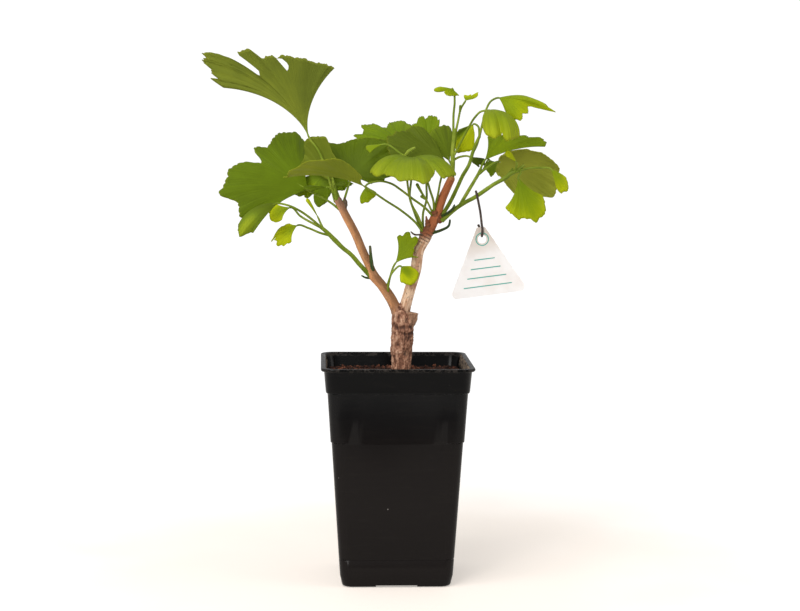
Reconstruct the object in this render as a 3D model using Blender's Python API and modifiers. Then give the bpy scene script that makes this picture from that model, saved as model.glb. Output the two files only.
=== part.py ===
"""A young ginkgo grown as a bonsai, in its square nursery pot, with a blank plant label on a wire.

Sizes and places in the tables are millimetres and the model is built in metres, +Z up. The origin is
the middle of the pot's underside, on the surface that the pot stands on. +X is the right of the
tree's front view, and +Y points away behind it.
"""

import math

import bmesh
import bpy
import numpy as np

MM = 0.001
OBJECT_NAME = "ginkgo_bonsai"
GAP = 0.3  # clearance left where two pieces meet

# The pot: (height, half width) down its outside, then the wall and what is cut into its foot
POT_HEIGHT = 160.0
LIP_HALF_WIDTH = 55.0
LIP_DEPTH = 2.3
POT_OUTSIDE = (
    (0.0, 38.8),
    (1.2, 39.5),
    (8.0, 40.9),
    (20.0, 41.7),
    (61.5, 44.4),
    (105.0, 47.2),
    (107.0, 48.0),
    (141.0, 50.2),
    (142.6, 51.4),
    (POT_HEIGHT - LIP_DEPTH, 52.8),
    (POT_HEIGHT - LIP_DEPTH, LIP_HALF_WIDTH - 0.3),
    (POT_HEIGHT - LIP_DEPTH / 2, LIP_HALF_WIDTH),
    (POT_HEIGHT, LIP_HALF_WIDTH - 0.6),
)
POT_INSIDE = (
    (2.8, 38.1),
    (20.0, 40.4),
    (61.5, 43.1),
    (106.0, 46.3),
    (141.0, 48.9),
    (POT_HEIGHT - 0.4, 51.2),
)
POT_CORNER = (6.5, 8.7)  # corner radius at the foot and at the lip
CORNER_STEPS = 4
FOOT_CHANNEL = (30.0, 1.2)  # width and depth of the channels that part the four feet
FOOT_PAD = 11.0  # half width of the middle pad left between the channels
DRAIN_RADIUS = 4.0
DRAIN_AT = 24.0

# The soil and the hole that the trunk stands in
SOIL_TOP = 149.0
SOIL_RELIEF = 1.5
TRUNK_FOOT = 119.0
TRUNK_FOOT_RADIUS = 6.9

# Woody limbs: (x, y, z, radius) along each, all fused in one piece
TRUNK = (
    (4, 0, TRUNK_FOOT, TRUNK_FOOT_RADIUS),
    (4, 0, 149, TRUNK_FOOT_RADIUS),
    (4, 0, 160, 7.2),
    (4, 0, 168, 7.8),
    (4.5, 0, 175, 8.0),
    (5, 0, 182, 8.3),
    (4, 0, 188, 7.6),
    (3, 0, 196, 5.8),
)
BARK_RIDGES = 9
BARK_DEPTH = 0.45
LIMBS = {
    "stub": ((5, 0, 177, 5.5), (8.5, 0, 185, 5.3), (12, 0, 191, 4.2), (14.2, 0, 195, 3.2)),
    "left": (
        (4, 0, 185, 4.8),
        (-2, -1, 202, 3.9),
        (-11, -3, 216, 3.5),
        (-17, -4, 223, 3.8),
        (-20, -4.5, 230, 3.2),
        (-25, -6, 241, 3.1),
        (-31, -7, 255, 3.1),
        (-37.5, -8, 267, 3.0),
        (-44, -9, 280, 2.8),
    ),
    "right": (
        (5, 0, 187, 4.8),
        (7, 0, 201, 4.2),
        (10, 1, 212, 4.0),
        (14, 1, 226, 4.0),
        (17, 2, 242, 4.0),
        (21, 2, 250, 4.6),
        (23, 2, 254, 4.2),
        (28, 3, 264, 3.6),
        (34, 4, 280, 3.2),
        (41, 4, 295.5, 2.9),
    ),
}
SPURS = {
    "spur_low": ((21, 1.5, 254, 3.6), (18.4, -0.4, 257.6, 3.1)),
    "spur_high": ((29, 3, 266, 3.2), (26, -0.4, 270.6, 2.6)),
    "spur_right": ((30, 3, 262.5, 3.4), (34, 1.8, 266, 3.0)),
    "bud_cone": ((23, 0, 256, 2.0), (22.3, -2, 261, 1.8), (21.3, -2.2, 266.5, 0.5)),
    "bud_left": ((-38.5, -8, 270, 1.6), (-37.2, -9, 276, 1.4), (-38.4, -9, 280, 0.5)),
    "bud_right": ((40, 3, 292, 1.9), (39.2, 0.3, 292.6, 1.3)),
}
DRIED_STALKS = {
    "dried_left_long": (
        (-17, -4, 222, 1.0),
        (-17.5, -7.5, 229, 0.8),
        (-18.5, -8.5, 237, 0.7),
        (-18.5, -8, 245, 0.5),
    ),
    "dried_left_short": ((-15, -3.5, 222, 1.1), (-22, -5, 221, 0.9), (-26, -6, 223, 0.7)),
    "dried_fork": ((20, 0, 253, 0.9), (16, -2.5, 252.5, 0.7), (13, -3, 252.6, 0.7), (10, -4, 255, 0.6)),
    "dried_right_long": (
        (24, 1.5, 253, 1.1),
        (33, -1, 256, 0.9),
        (38, -2, 259, 0.7),
        (39, -2, 264, 0.6),
    ),
    "dried_right_short": (
        (33, 0, 266, 0.9),
        (38, -5.5, 269.5, 0.8),
        (40.5, -7, 272, 0.7),
        (42, -7, 275, 0.6),
    ),
}

# This year's green shoots: what each grows from, then (x, y, z, radius) along it
SHOOTS = {
    "shoot_low_left": (
        "trunk",
        (-15, -2.5, 217.5, 1.7),
        (-27, -8, 231, 1.7),
        (-34, -11, 239, 1.6),
        (-39, -13, 243, 1.6),
        (-45, -16, 249, 1.8),
        (-52, -19, 256, 1.5),
        (-57, -20.5, 260, 1.3),
    ),
    "shoot_left_tip": ("trunk", (-43.8, -10.6, 278, 1.3), (-45, -11.6, 285, 1.3), (-47, -12, 294, 0.7)),
    "shoot_upright": (
        "trunk",
        (40.3, 4, 292, 1.8),
        (41, 4, 303, 1.7),
        (41, 4, 314, 1.6),
        (42, 4, 323, 1.8),
        (42, 4, 330, 1.7),
    ),
    "shoot_right_tall": (
        "trunk",
        (32.5, 3.5, 265, 1.6),
        (39, 1.5, 276, 1.5),
        (44, -2, 287, 1.4),
        (48, -3, 296, 1.4),
        (52, -4, 303, 1.3),
        (55, -5, 313, 1.3),
        (58, -6, 321, 1.2),
        (60, -6, 325, 1.1),
    ),
    "shoot_right_long": (
        "trunk",
        (33, 0, 262.5, 1.7),
        (42, -3, 271, 1.6),
        (49, -6, 276, 1.5),
        (56, -9, 280, 1.5),
        (63, -12, 285, 1.5),
        (70, -14, 290, 1.4),
        (77, -16, 294, 1.5),
        (84, -18, 299, 1.5),
        (88, -18, 300, 1.2),
    ),
    "shoot_right_fork": (
        "shoot_right_long",
        (45.5, -4.8, 273.6, 1.3),
        (52, 0, 284, 1.3),
        (57, 3, 292, 1.2),
        (60, 5, 297, 1.2),
        (62, 6, 301, 1.1),
    ),
    "bud_stalk": (
        "trunk",
        (25.6, -1, 269.6, 0.8),
        (22.2, -4.8, 276.5, 0.7),
        (18, -6, 283, 0.9),
        (14, -7, 290, 1.3),
    ),
}
# Buds and bumps fused to a shoot
SHOOT_BUDS = {
    "shoot_low_left": (((-43, -15, 247, 1.2), (-47, -16, 252.5, 0.6)),),
    "shoot_right_long": (
        ((86, -18, 299.5, 1.2), (91, -19, 304, 1.1)),
        ((79, -16.5, 296, 1.0), (83, -19, 301.5, 0.7)),
    ),
    "bud_stalk": (((21.5, -4.6, 278, 0.7), (17, -6.5, 281, 1.2)),),
}
# Each leaf: aim is azimuth, rise and roll in degrees, rim is (angle from the middle ray, reach),
# clefts are (angle, where it starts, how wide it opens), and stalk is the way up to the blade
LEAVES = {
    "leaf_top_left": {
        "base": (-64, -8, 323),
        "aim": (185, 70, 75),
        "rim": (
            (-39.5, 69),
            (-38, 80),
            (-34, 94),
            (-27, 85),
            (-22, 78),
            (-15, 76),
            (-9, 67),
            (-2, 64),
            (8, 61),
            (26, 55),
            (43, 55),
        ),
        "clefts": ((-22, 0.76, 3), (2, 0.78, 7)),
        "droop": 10,
        "neck": 0.25,
        "columns": 24,
        "rows": 5,
        "grows_from": "trunk",
        "stalk": ((-45, -8.8, 276), (-47.6, -8.6, 286), (-52, -9, 301), (-57, -9, 313)),
    },
    "leaf_wide_left": {
        "base": (-65, -10, 285),
        "aim": (180, 30, -50),
        "rim": (
            (-68, 51),
            (-56, 57),
            (-42, 55),
            (-30, 49),
            (-20, 51),
            (-8, 45),
            (1, 47),
            (10, 54),
            (20, 59),
            (34, 65),
            (44, 58),
            (57, 55),
            (68, 46),
        ),
        "clefts": ((-6, 0.8, 8),),
        "cone": 8,
        "droop": 15,
        "columns": 22,
        "grows_from": "trunk",
        "stalk": ((-41, -8, 270), (-47, -9.5, 275), (-57, -10, 281)),
    },
    "leaf_drooping_left": {
        "base": (-86, -34, 276),
        "aim": (195, -10, -45),
        "rim": ((-34, 20), (-6, 24), (10, 33), (24, 37), (38, 28)),
        "cone": 15,
        "droop": 45,
        "columns": 10,
        "grows_from": "shoot_low_left",
        "stalk": ((-55, -19.8, 258.4), (-63, -25, 265.5), (-70, -29, 270.5), (-78, -33, 274.5)),
    },
    "leaf_upright_left": {
        "base": (-48, -4, 291),
        "aim": (180, 72, 60),
        "rim": ((-24, 34), (-10, 36), (8, 34), (28, 31), (36, 30)),
        "cone": 5,
        "droop": 10,
        "neck": 0.5,
        "columns": 12,
        "grows_from": "trunk",
        "stalk": ((-44, -7.4, 277.6), (-45.6, -4.8, 284.5)),
    },
    "leaf_long_left": {
        "base": (-24, -24, 288),
        "aim": (190, 12, 14),
        "rim": ((-42, 40), (-20, 54), (5, 62), (17, 61), (28, 59), (39, 51), (48, 36), (54, 22)),
        "clefts": ((-6, 0.75, 5),),
        "cone": -40,
        "droop": 15,
        "columns": 16,
        "rows": 5,
        "grows_from": "trunk",
        "stalk": ((18.6, -1.6, 255), (14, -5.4, 261), (2, -11, 271), (-9, -17, 278), (-17, -21, 283.5)),
    },
    "leaf_inner_left": {
        "base": (-33, 2, 295),
        "aim": (20, 50, 50),
        "rim": ((-64, 30), (-40, 37), (-18, 38), (3, 36), (28, 31), (46, 31), (62, 32)),
        "clefts": ((8, 0.8, 5),),
        "cone": 5,
        "droop": 15,
        "columns": 16,
        "grows_from": "trunk",
        "stalk": ((-39.5, -7, 274), (-37, -3.5, 282), (-34.5, 0.5, 290)),
    },
    "leaf_curled_left": {
        "base": (-23, -16, 287),
        "aim": (-20, -60, 60),
        "rim": ((-55, 10), (-25, 13), (10, 13), (45, 13)),
        "cone": 35,
        "droop": 20,
        "columns": 8,
        "grows_from": "trunk",
        "stalk": (
            (26, 0.5, 266.6),
            (20, -4.2, 272.6),
            (11, -6, 279),
            (3, -8, 285),
            (-5, -12, 290),
            (-14, -14, 291.5),
        ),
    },
    "leaf_back_left": {
        "base": (-51, 3, 287),
        "aim": (180, -42, -60),
        "rim": ((-50, 30), (-38, 27), (-26, 18), (-15, 17), (0, 14), (19, 16), (34, 17), (56, 11)),
        "clefts": ((-24, 0.6, 6),),
        "cone": 12,
        "droop": 20,
        "columns": 14,
        "grows_from": "trunk",
        "stalk": ((-40, -7.4, 273.5), (-43, -2, 280)),
    },
    "leaf_young_left": {
        "base": (-50, -14, 287),
        "aim": (190, 2, -25),
        "rim": ((-22, 13), (0, 18), (22, 13)),
        "cone": 35,
        "droop": 8,
        "columns": 6,
        "rows": 2,
        "grows_from": "shoot_left_tip",
        "stalk": ((-44.9, -11.2, 282.5),),
    },
    "leaf_young_inner": {
        "base": (-41.2, -13.4, 288),
        "aim": (-6, 14, 36),
        "rim": ((-28, 7), (0, 9), (28, 7)),
        "cone": 30,
        "droop": 10,
        "columns": 6,
        "rows": 2,
        "grows_from": "shoot_left_tip",
        "stalk": ((-45.2, -11.6, 283.5), (-43.4, -12.6, 286.6)),
    },
    "leaf_shoot_upper": {
        "base": (-77, -30, 273),
        "aim": (185, -35, -60),
        "rim": ((-46, 12), (-26, 17), (-5, 17), (12, 14), (32, 11)),
        "cone": 15,
        "droop": 20,
        "columns": 8,
        "grows_from": "shoot_low_left",
        "stalk": ((-54, -19.8, 257.6), (-60, -25, 261), (-70, -29, 267)),
    },
    "leaf_shoot_lower": {
        "base": (-72, -24, 260),
        "aim": (185, -36, -60),
        "rim": ((-48, 11), (-28, 17), (-8, 23), (10, 21), (24, 17), (36, 12)),
        "clefts": ((-5, 0.7, 5),),
        "cone": 15,
        "droop": 20,
        "columns": 10,
        "grows_from": "shoot_low_left",
        "stalk": ((-49.5, -17.8, 252.6), (-56, -21, 254.6), (-64, -23, 258)),
    },
    "leaf_shoot_tip": {
        "base": (-57, -18, 265),
        "aim": (180, 62, -40),
        "rim": ((-25, 13), (25, 13)),
        "cone": 45,
        "droop": 10,
        "columns": 6,
        "rows": 2,
        "grows_from": "shoot_low_left",
        "stalk": ((-53.5, -19.4, 257.5), (-55.5, -17.8, 261.5)),
    },
    "leaf_fork_upper": {
        "base": (-1, -8, 232),
        "aim": (0, 48, 70),
        "rim": ((-36, 17), (-20, 17), (-4, 22), (10, 24), (25, 25), (41, 20)),
        "clefts": ((-13, 0.75, 6), (14, 0.85, 4)),
        "cone": 10,
        "droop": 10,
        "columns": 12,
        "grows_from": "trunk",
        "stalk": ((-7.5, -2.4, 212), (-5, -6.5, 221)),
    },
    "leaf_fork_lower": {
        "base": (3, -12, 230),
        "aim": (0, -40, 60),
        "rim": ((-54, 10), (-34, 13), (-12, 17), (12, 17), (30, 14), (44, 10)),
        "cone": 15,
        "droop": 15,
        "columns": 8,
        "grows_from": "trunk",
        "stalk": ((-6, -2.4, 208), (-6, -8.5, 216), (-3, -12.5, 226)),
    },
    "leaf_front_middle": {
        "base": (10, -14, 308),
        "aim": (-90, 12, 0),
        "rim": ((-88, 33), (-62, 40), (-25, 42), (20, 44), (52, 42), (84, 32)),
        "clefts": ((36, 0.85, 5),),
        "cone": 8,
        "droop": ((-88, 40), (-45, 70), (0, 85), (45, 70), (88, 40)),
        "swell": 2.0,
        "neck": 0.85,
        "columns": 20,
        "rows": 5,
        "grows_from": "trunk",
        "stalk": ((19, -1.6, 257), (15.4, -5.8, 266), (10, -9.4, 276), (8, -11.6, 285), (7, -12, 296)),
    },
    "leaf_dark_middle": {
        "base": (36.8, 2.2, 304),
        "aim": (180, 24, -65),
        "rim": ((-38, 31), (-24, 39), (-8, 43), (4, 46), (18, 42), (34, 36)),
        "cone": 8,
        "droop": 10,
        "teeth": 1.3,
        "columns": 16,
        "grows_from": "trunk",
        "stalk": ((27.8, 1.4, 268.5), (28.6, 0.8, 275), (30, 1, 281), (32, 1, 292), (34, 1, 299)),
    },
    "leaf_top_middle": {
        "base": (24, 14, 308),
        "aim": (90, 62, 0),
        "rim": ((-24, 29), (-10, 34), (12, 35), (30, 30)),
        "cone": 8,
        "droop": 10,
        "teeth": 1.3,
        "columns": 12,
        "grows_from": "trunk",
        "stalk": ((19.4, 0.2, 256.5), (19.4, 1.6, 268), (22, 4, 278), (22, 7, 289), (23, 11, 301)),
    },
    "leaf_back_middle": {
        "base": (9, 22, 314),
        "aim": (150, 30, -30),
        "rim": (
            (-64, 34),
            (-44, 39),
            (-28, 37),
            (-18, 32),
            (-6, 40),
            (6, 42),
            (20, 40),
            (34, 34),
        ),
        "clefts": ((-17, 0.85, 4),),
        "cone": 8,
        "droop": 15,
        "columns": 16,
        "grows_from": "trunk",
        "stalk": ((18, 0.6, 256), (13, 5.5, 269), (10, 9, 280), (11, 13, 291), (11, 18, 303)),
    },
    "leaf_behind_shoot": {
        "base": (39, 11, 306),
        "aim": (120, 66, 0),
        "rim": ((-26, 28), (-12, 31), (6, 30), (26, 27)),
        "cone": 8,
        "droop": 10,
        "columns": 10,
        "grows_from": "shoot_upright",
        "stalk": ((41, 4.2, 301.5), (40.5, 8, 303)),
    },
    "leaf_small_middle": {
        "base": (-10, -5, 318),
        "aim": (185, -10, -25),
        "rim": ((-30, 13), (30, 13)),
        "cone": 25,
        "droop": 10,
        "columns": 6,
        "rows": 2,
        "grows_from": "trunk",
        "stalk": (
            (27.2, -0.2, 269.6),
            (26.6, -3, 277),
            (24, -4, 285),
            (21, -5, 294),
            (15, -7, 303),
            (3, -6.5, 311),
        ),
        "bud": ((5, -6.8, 309.5, 0.8), (8, -8, 313, 1.3), (13, -8.6, 316, 0.9)),
    },
    "leaf_crown_cap": {
        "base": (41.4, 3, 358.5),
        "aim": (-115, 18, 0),
        "rim": ((-70, 16), (-40, 13), (0, 9), (40, 8), (75, 8)),
        "cone": 10,
        "droop": ((-70, 42), (0, 85), (75, 100)),
        "columns": 10,
        "grows_from": "shoot_upright",
        "stalk": ((41.2, 4.2, 328), (41.3, 4.4, 340), (42, 4, 350), (41.3, 4.4, 356.5)),
    },
    "leaf_crown_bud": {
        "base": (50, 5, 350),
        "aim": (0, 32, 50),
        "rim": ((-35, 8), (0, 9), (35, 9)),
        "cone": 40,
        "droop": 10,
        "columns": 6,
        "rows": 2,
        "grows_from": "shoot_upright",
        "stalk": ((42.6, 3.6, 325.5), (44.6, 4.6, 335), (47, 5, 345)),
        "bud": ((46, 4.8, 342, 0.9), (46.2, 4, 347, 1.0)),
    },
    "leaf_folded": {
        "base": (56, 8, 333),
        "aim": (172, -55, -75),
        "rim": ((-26, 12), (-12, 20), (4, 24), (20, 22), (44, 12)),
        "cone": 30,
        "droop": 15,
        "columns": 10,
        "grows_from": "shoot_right_tall",
        "stalk": ((55, -5, 312.4), (58, -2.5, 318), (60, 2, 327), (59, 6, 332)),
    },
    "leaf_top_right": {
        "base": (73, -8, 352),
        "aim": (-12, 4, 30),
        "rim": ((-70, 17), (-58, 24), (-40, 25), (-26, 25), (-20, 37), (-5, 41), (15, 35), (35, 26)),
        "clefts": ((-28, 0.8, 6),),
        "cone": 28,
        "droop": 46,
        "columns": 16,
        "rows": 5,
        "grows_from": "shoot_right_tall",
        "stalk": ((59.4, -6, 323.6), (62, -6, 335), (64, -6, 343), (68, -7, 350)),
    },
    "leaf_umbrella_right": {
        "base": (66, -12, 343),
        "aim": (-72, 5, 0),
        "rim": ((-62, 22), (-46, 32), (-33, 41), (-18, 40), (-3, 45), (22, 42), (44, 34), (66, 25)),
        "clefts": ((-18, 0.7, 5),),
        "cone": 20,
        "droop": ((-62, 72), (0, 92), (66, 78)),
        "neck": 0.75,
        "columns": 16,
        "rows": 5,
        "grows_from": "shoot_upright",
        "stalk": ((41, 4, 308.5), (47, 0, 321), (52, -4, 331), (56, -8, 338), (60, -10.5, 342)),
    },
    "leaf_dark_right": {
        "base": (65, 8, 307),
        "aim": (25, 28, 50),
        "rim": ((-17, 38), (-14, 50), (-9, 52), (-3, 44), (5, 37), (24, 27), (45, 22)),
        "cone": 5,
        "droop": 10,
        "columns": 14,
        "rows": 5,
        "grows_from": "shoot_right_fork",
        "stalk": ((61.4, 5.8, 299.6), (63, 7, 304)),
    },
    "leaf_arched_right": {
        "base": (74, -2, 306),
        "aim": (5, 15, -50),
        "rim": (
            (-64, 16),
            (-38, 23),
            (-14, 32),
            (4, 39),
            (18, 46),
            (32, 48),
            (46, 52),
            (58, 45),
            (82, 29),
        ),
        "cone": 8,
        "droop": 45,
        "columns": 18,
        "rows": 5,
        "grows_from": "shoot_right_fork",
        "stalk": ((59, 4.4, 295.4), (66, 1, 301.5)),
    },
    "leaf_hanging_right": {
        "base": (86, -25, 295),
        "aim": (-15, -60, 65),
        "rim": ((-53, 22), (-36, 28), (-14, 32), (0, 35), (14, 31), (30, 24)),
        "cone": 15,
        "droop": 15,
        "columns": 14,
        "rows": 5,
        "grows_from": "shoot_right_long",
        "stalk": ((86.5, -18.2, 299.6), (88, -23, 298.5)),
    },
    "leaf_curl_right": {
        "base": (84, -22, 306),
        "aim": (180, 50, -60),
        "rim": ((-25, 11), (25, 11)),
        "cone": 45,
        "droop": 10,
        "columns": 6,
        "rows": 2,
        "grows_from": "shoot_right_long",
        "stalk": ((84, -18, 298.6), (85, -20.5, 302)),
    },
    "leaf_tip_right": {
        "base": (110, -20, 301),
        "aim": (-10, -45, 60),
        "rim": ((-30, 14), (-16, 20), (0, 19), (14, 15)),
        "cone": 30,
        "droop": 25,
        "columns": 8,
        "grows_from": "shoot_right_long",
        "stalk": ((87.4, -18.2, 299.7), (94, -20.5, 301.5), (102, -20.5, 302)),
    },
    "leaf_small_back": {
        "base": (54, 8, 309),
        "aim": (32, -15, 60),
        "rim": ((-38, 10), (-6, 13), (14, 12)),
        "cone": 10,
        "droop": 10,
        "columns": 6,
        "rows": 2,
        "grows_from": "shoot_upright",
        "stalk": ((41, 4, 306.4), (46, 6.6, 309)),
    },
    "leaf_small_inner": {
        "base": (67, 11, 301),
        "aim": (10, -40, 60),
        "rim": ((-28, 8), (10, 11), (41, 9)),
        "cone": 10,
        "droop": 10,
        "columns": 6,
        "rows": 2,
        "grows_from": "shoot_right_fork",
        "stalk": ((60.6, 5.4, 298), (63.5, 8.6, 299.5)),
    },
}
BLADE_THICKNESS = 0.7
STALK_RADIUS = (0.9, 0.75)  # where it leaves the wood, and at the blade
TEETH = 0.8

# The label: an upright triangle with round corners, hung by its hole on a bent wire
LABEL_HOLE_AT = (61.6, -13.0, 250.0)
LABEL_WIDTH = 58.0
LABEL_BELOW_HOLE = 41.0
LABEL_ABOVE_HOLE = 8.8
LABEL_CORNER = 3.6
LABEL_THICKNESS = 0.8
LABEL_HOLE_RADIUS = 3.1
LABEL_TILT = 7.5
WIRE_RADIUS = 0.48
WIRE_SEAT = LABEL_HOLE_RADIUS - WIRE_RADIUS - GAP  # the wire's height above the hole's middle
WIRE_FRONT = LABEL_THICKNESS / 2 + WIRE_RADIUS + GAP + 0.3
WIRE_HOOK = (
    (61, -13.6, 262),
    (60, -13.0, 270),
    (58.6, -13.0, 277),
    (57.6, -12.9, 281.5),
    (57.0, -11.2, 284.1),
    (57.2, -8.6, 284.2),
    (58.0, -7.0, 281.6),
    (58.6, -7.6, 279),
)

COLORS = {
    "pot": ((0.012, 0.014, 0.016), 0.32),
    "soil": ((0.09, 0.045, 0.03), 0.95),
    "bark": ((0.38, 0.24, 0.16), 0.85),
    "shoot": ((0.26, 0.36, 0.07), 0.5),
    "leaf": ((0.16, 0.30, 0.02), 0.5),
    "label": ((0.86, 0.83, 0.82), 0.4),
    "wire": ((0.05, 0.035, 0.03), 0.5),
}


def smooth(places, values, at):
    """Values at the given places of a smooth curve through (places, values)."""
    places = np.asarray(places, float)
    values = np.asarray(values, float)
    slopes = np.gradient(values, places)
    at = np.clip(at, places[0], places[-1])
    left = np.clip(np.searchsorted(places, at, side="right") - 1, 0, len(places) - 2)
    width = places[left + 1] - places[left]
    t = (at - places[left]) / width
    return (
        (2 * t**3 - 3 * t**2 + 1) * values[left]
        + (t**3 - 2 * t**2 + t) * width * slopes[left]
        + (3 * t**2 - 2 * t**3) * values[left + 1]
        + (t**3 - t**2) * width * slopes[left + 1]
    )


def at_angle(setting, angle):
    """A leaf's setting at an angle: one number, or (angle, value) pairs to pass through."""
    if isinstance(setting, (int, float)):
        return np.full(np.shape(angle), float(setting))
    places, values = zip(*setting)
    return smooth(places, values, angle)


def smooth_path(points, spacing):
    """(places, radii) along a smooth curve through (x, y, z, radius) points."""
    points = np.array(points, float)
    steps = np.linalg.norm(np.diff(points[:, :3], axis=0), axis=1)
    along = np.concatenate([[0.0], np.cumsum(steps)])
    count = max(2, math.ceil(along[-1] / spacing) + 1)
    at = np.linspace(0, along[-1], count)
    if len(points) == 2:
        places = np.stack([np.interp(at, along, points[:, axis]) for axis in range(3)], axis=1)
    else:
        places = np.stack([smooth(along, points[:, axis], at) for axis in range(3)], axis=1)
    return places, np.interp(at, along, points[:, 3])


def leaf_axes(aim):
    """Unit vectors along the middle ray, across the blade and out of its upper face."""
    azimuth, rise, roll = (math.radians(value) for value in aim)
    along = np.array(
        [math.cos(rise) * math.cos(azimuth), math.cos(rise) * math.sin(azimuth), math.sin(rise)]
    )
    upright = np.array([0.0, 0.0, 1.0]) - along * along[2]
    upright /= np.linalg.norm(upright)
    face = upright * math.cos(roll) + np.cross(along, upright) * math.sin(roll)
    return along, np.cross(face, along), face


def blade_places(leaf, angle, share, reach):
    """Places on a blade rolled in a cone and bent down along its rays. Share runs from base to rim."""
    along, across, face = leaf_axes(leaf["aim"])
    cone = math.radians(leaf.get("cone", 0.5))
    side = math.copysign(1, cone)
    opening = math.pi / 2 - abs(cone)
    axis = math.cos(opening) * along - side * math.sin(opening) * face
    radial = math.sin(opening) * along + side * math.cos(opening) * face
    turn = (np.radians(angle) / math.sin(opening))[..., None]
    ring = np.cos(turn) * radial + np.sin(turn) * across
    ray = math.cos(opening) * axis + math.sin(opening) * ring
    normal = -side * (math.sin(opening) * axis - math.cos(opening) * ring)
    droop = np.radians(at_angle(leaf.get("droop", 0), angle))
    middles = (np.arange(16) + 0.5) / 16
    bend = droop[..., None] * (share[..., None] * middles) ** 1.5
    out = np.cos(bend).mean(-1) * share * reach
    down = np.sin(bend).mean(-1) * share * reach
    swell = -leaf.get("swell", 0) * np.sin(math.pi * share) * np.cos(4 * np.radians(angle))
    return np.array(leaf["base"], float) + ray * out[..., None] + normal * (swell - down)[..., None]


def blade_lobes(leaf, columns, rows):
    """Grids of places, one for each lobe between clefts, the first row at the base."""
    rim = leaf["rim"]
    first, last = rim[0][0], rim[-1][0]
    middle = (first + last) / 2
    clefts = leaf.get("clefts", ())
    edges = [first, *(cleft[0] for cleft in clefts), last]
    shares = np.linspace(0, 1, rows + 1)
    lobes = []
    for index, (low, high) in enumerate(zip(edges[:-1], edges[1:])):
        count = 2 * max(1, round(columns * (high - low) / (last - first) / 2))
        over, share = np.meshgrid(np.linspace(0, 1, count + 1), shares)
        left = np.full_like(share, low)
        right = np.full_like(share, high)
        if index > 0:
            _, start, opening = clefts[index - 1]
            left += opening / 2 * np.clip((share - start) / (1 - start), 0, 1)
        if index < len(clefts):
            _, start, opening = clefts[index]
            right -= opening / 2 * np.clip((share - start) / (1 - start), 0, 1)
        angle = left + (right - left) * over
        tooth = leaf.get("teeth", TEETH) * (np.arange(count + 1) % 2 - 0.5)
        reach = at_angle(rim, angle) * (1 - 0.05 * np.abs(2 * over - 1) ** 6) + tooth
        neck = leaf.get("neck", 0.6)
        angle = middle + (angle - middle) * (neck + (1 - neck) * share**1.5)
        lobes.append(blade_places(leaf, angle, share, reach))
    return lobes


def clear_scene():
    for old in list(bpy.data.objects):
        bpy.data.objects.remove(old, do_unlink=True)


def add_collection(name, hidden):
    collection = bpy.data.collections.new(name)
    collection.hide_render = hidden
    bpy.context.scene.collection.children.link(collection)
    return collection


def add_material(name):
    color, roughness = COLORS[name]
    material = bpy.data.materials.new(name)
    material.use_nodes = True
    shader = material.node_tree.nodes["Principled BSDF"]
    shader.inputs["Base Color"].default_value = (*color, 1)
    shader.inputs["Roughness"].default_value = roughness
    shader.inputs["Metallic"].default_value = 0.0
    return material


def place(obj, collection):
    """Puts an object in one collection only, and hides it from renders there if that is the cutters'."""
    for old in obj.users_collection:
        old.objects.unlink(obj)
    collection.objects.link(obj)
    obj.hide_render = collection.hide_render
    if collection.hide_render:
        obj.display_type = "WIRE"


def object_of(name, bm, collection):
    mesh = bpy.data.meshes.new(name)
    bm.to_mesh(mesh)
    bm.free()
    obj = bpy.data.objects.new(name, mesh)
    place(obj, collection)
    return obj


def evaluated_mesh(obj):
    graph = bpy.context.evaluated_depsgraph_get()
    return bpy.data.meshes.new_from_object(obj.evaluated_get(graph))


def bake(obj):
    """Applies an object's modifiers."""
    mesh = evaluated_mesh(obj)
    obj.modifiers.clear()
    obj.data = mesh


def keep_largest_body(obj):
    """Merges doubled points and drops the slivers that a cut may leave beside the body."""
    bm = bmesh.new()
    bm.from_mesh(obj.data)
    bmesh.ops.remove_doubles(bm, verts=bm.verts, dist=2e-6)
    bmesh.ops.dissolve_degenerate(bm, edges=bm.edges, dist=1e-6)
    bodies = []
    left = set(bm.verts)
    while left:
        body = set()
        reached = [left.pop()]
        while reached:
            vertex = reached.pop()
            body.add(vertex)
            for edge in vertex.link_edges:
                other = edge.other_vert(vertex)
                if other in left:
                    left.remove(other)
                    reached.append(other)
        bodies.append(body)
    bodies.sort(key=len)
    loose = [vertex for body in bodies[:-1] for vertex in body]
    bmesh.ops.delete(bm, geom=loose, context="VERTS")
    bm.to_mesh(obj.data)
    bm.free()


def boolean(obj, other, operation, solver="EXACT"):
    """Joins, cuts or keeps what two shapes share, and removes the second where it was joined."""
    modifier = obj.modifiers.new(operation.lower(), "BOOLEAN")
    modifier.operation = operation
    modifier.solver = solver
    modifier.object = other
    bake(obj)
    if operation == "UNION":
        bpy.data.objects.remove(other, do_unlink=True)


def tube(name, points, collection, spacing=4.5, resolution=1, extra=0.0):
    """A closed mesh tube along (x, y, z, radius) points, its radius grown by extra."""
    places, radii = smooth_path(points, spacing)
    curve = bpy.data.curves.new(name, "CURVE")
    curve.dimensions = "3D"
    curve.bevel_depth = MM
    curve.bevel_resolution = resolution
    curve.use_fill_caps = True
    spline = curve.splines.new("POLY")
    spline.points.add(len(places) - 1)
    for point, at, radius in zip(spline.points, places, radii):
        point.co = (*(at * MM), 1)
        point.radius = radius + extra
    guide = bpy.data.objects.new(name + "_guide", curve)
    place(guide, collection)
    bm = bmesh.new()
    bm.from_mesh(evaluated_mesh(guide))
    bmesh.ops.remove_doubles(bm, verts=bm.verts, dist=1e-6)
    bmesh.ops.recalc_face_normals(bm, faces=bm.faces)
    bpy.data.objects.remove(guide, do_unlink=True)
    return object_of(name, bm, collection)


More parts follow.
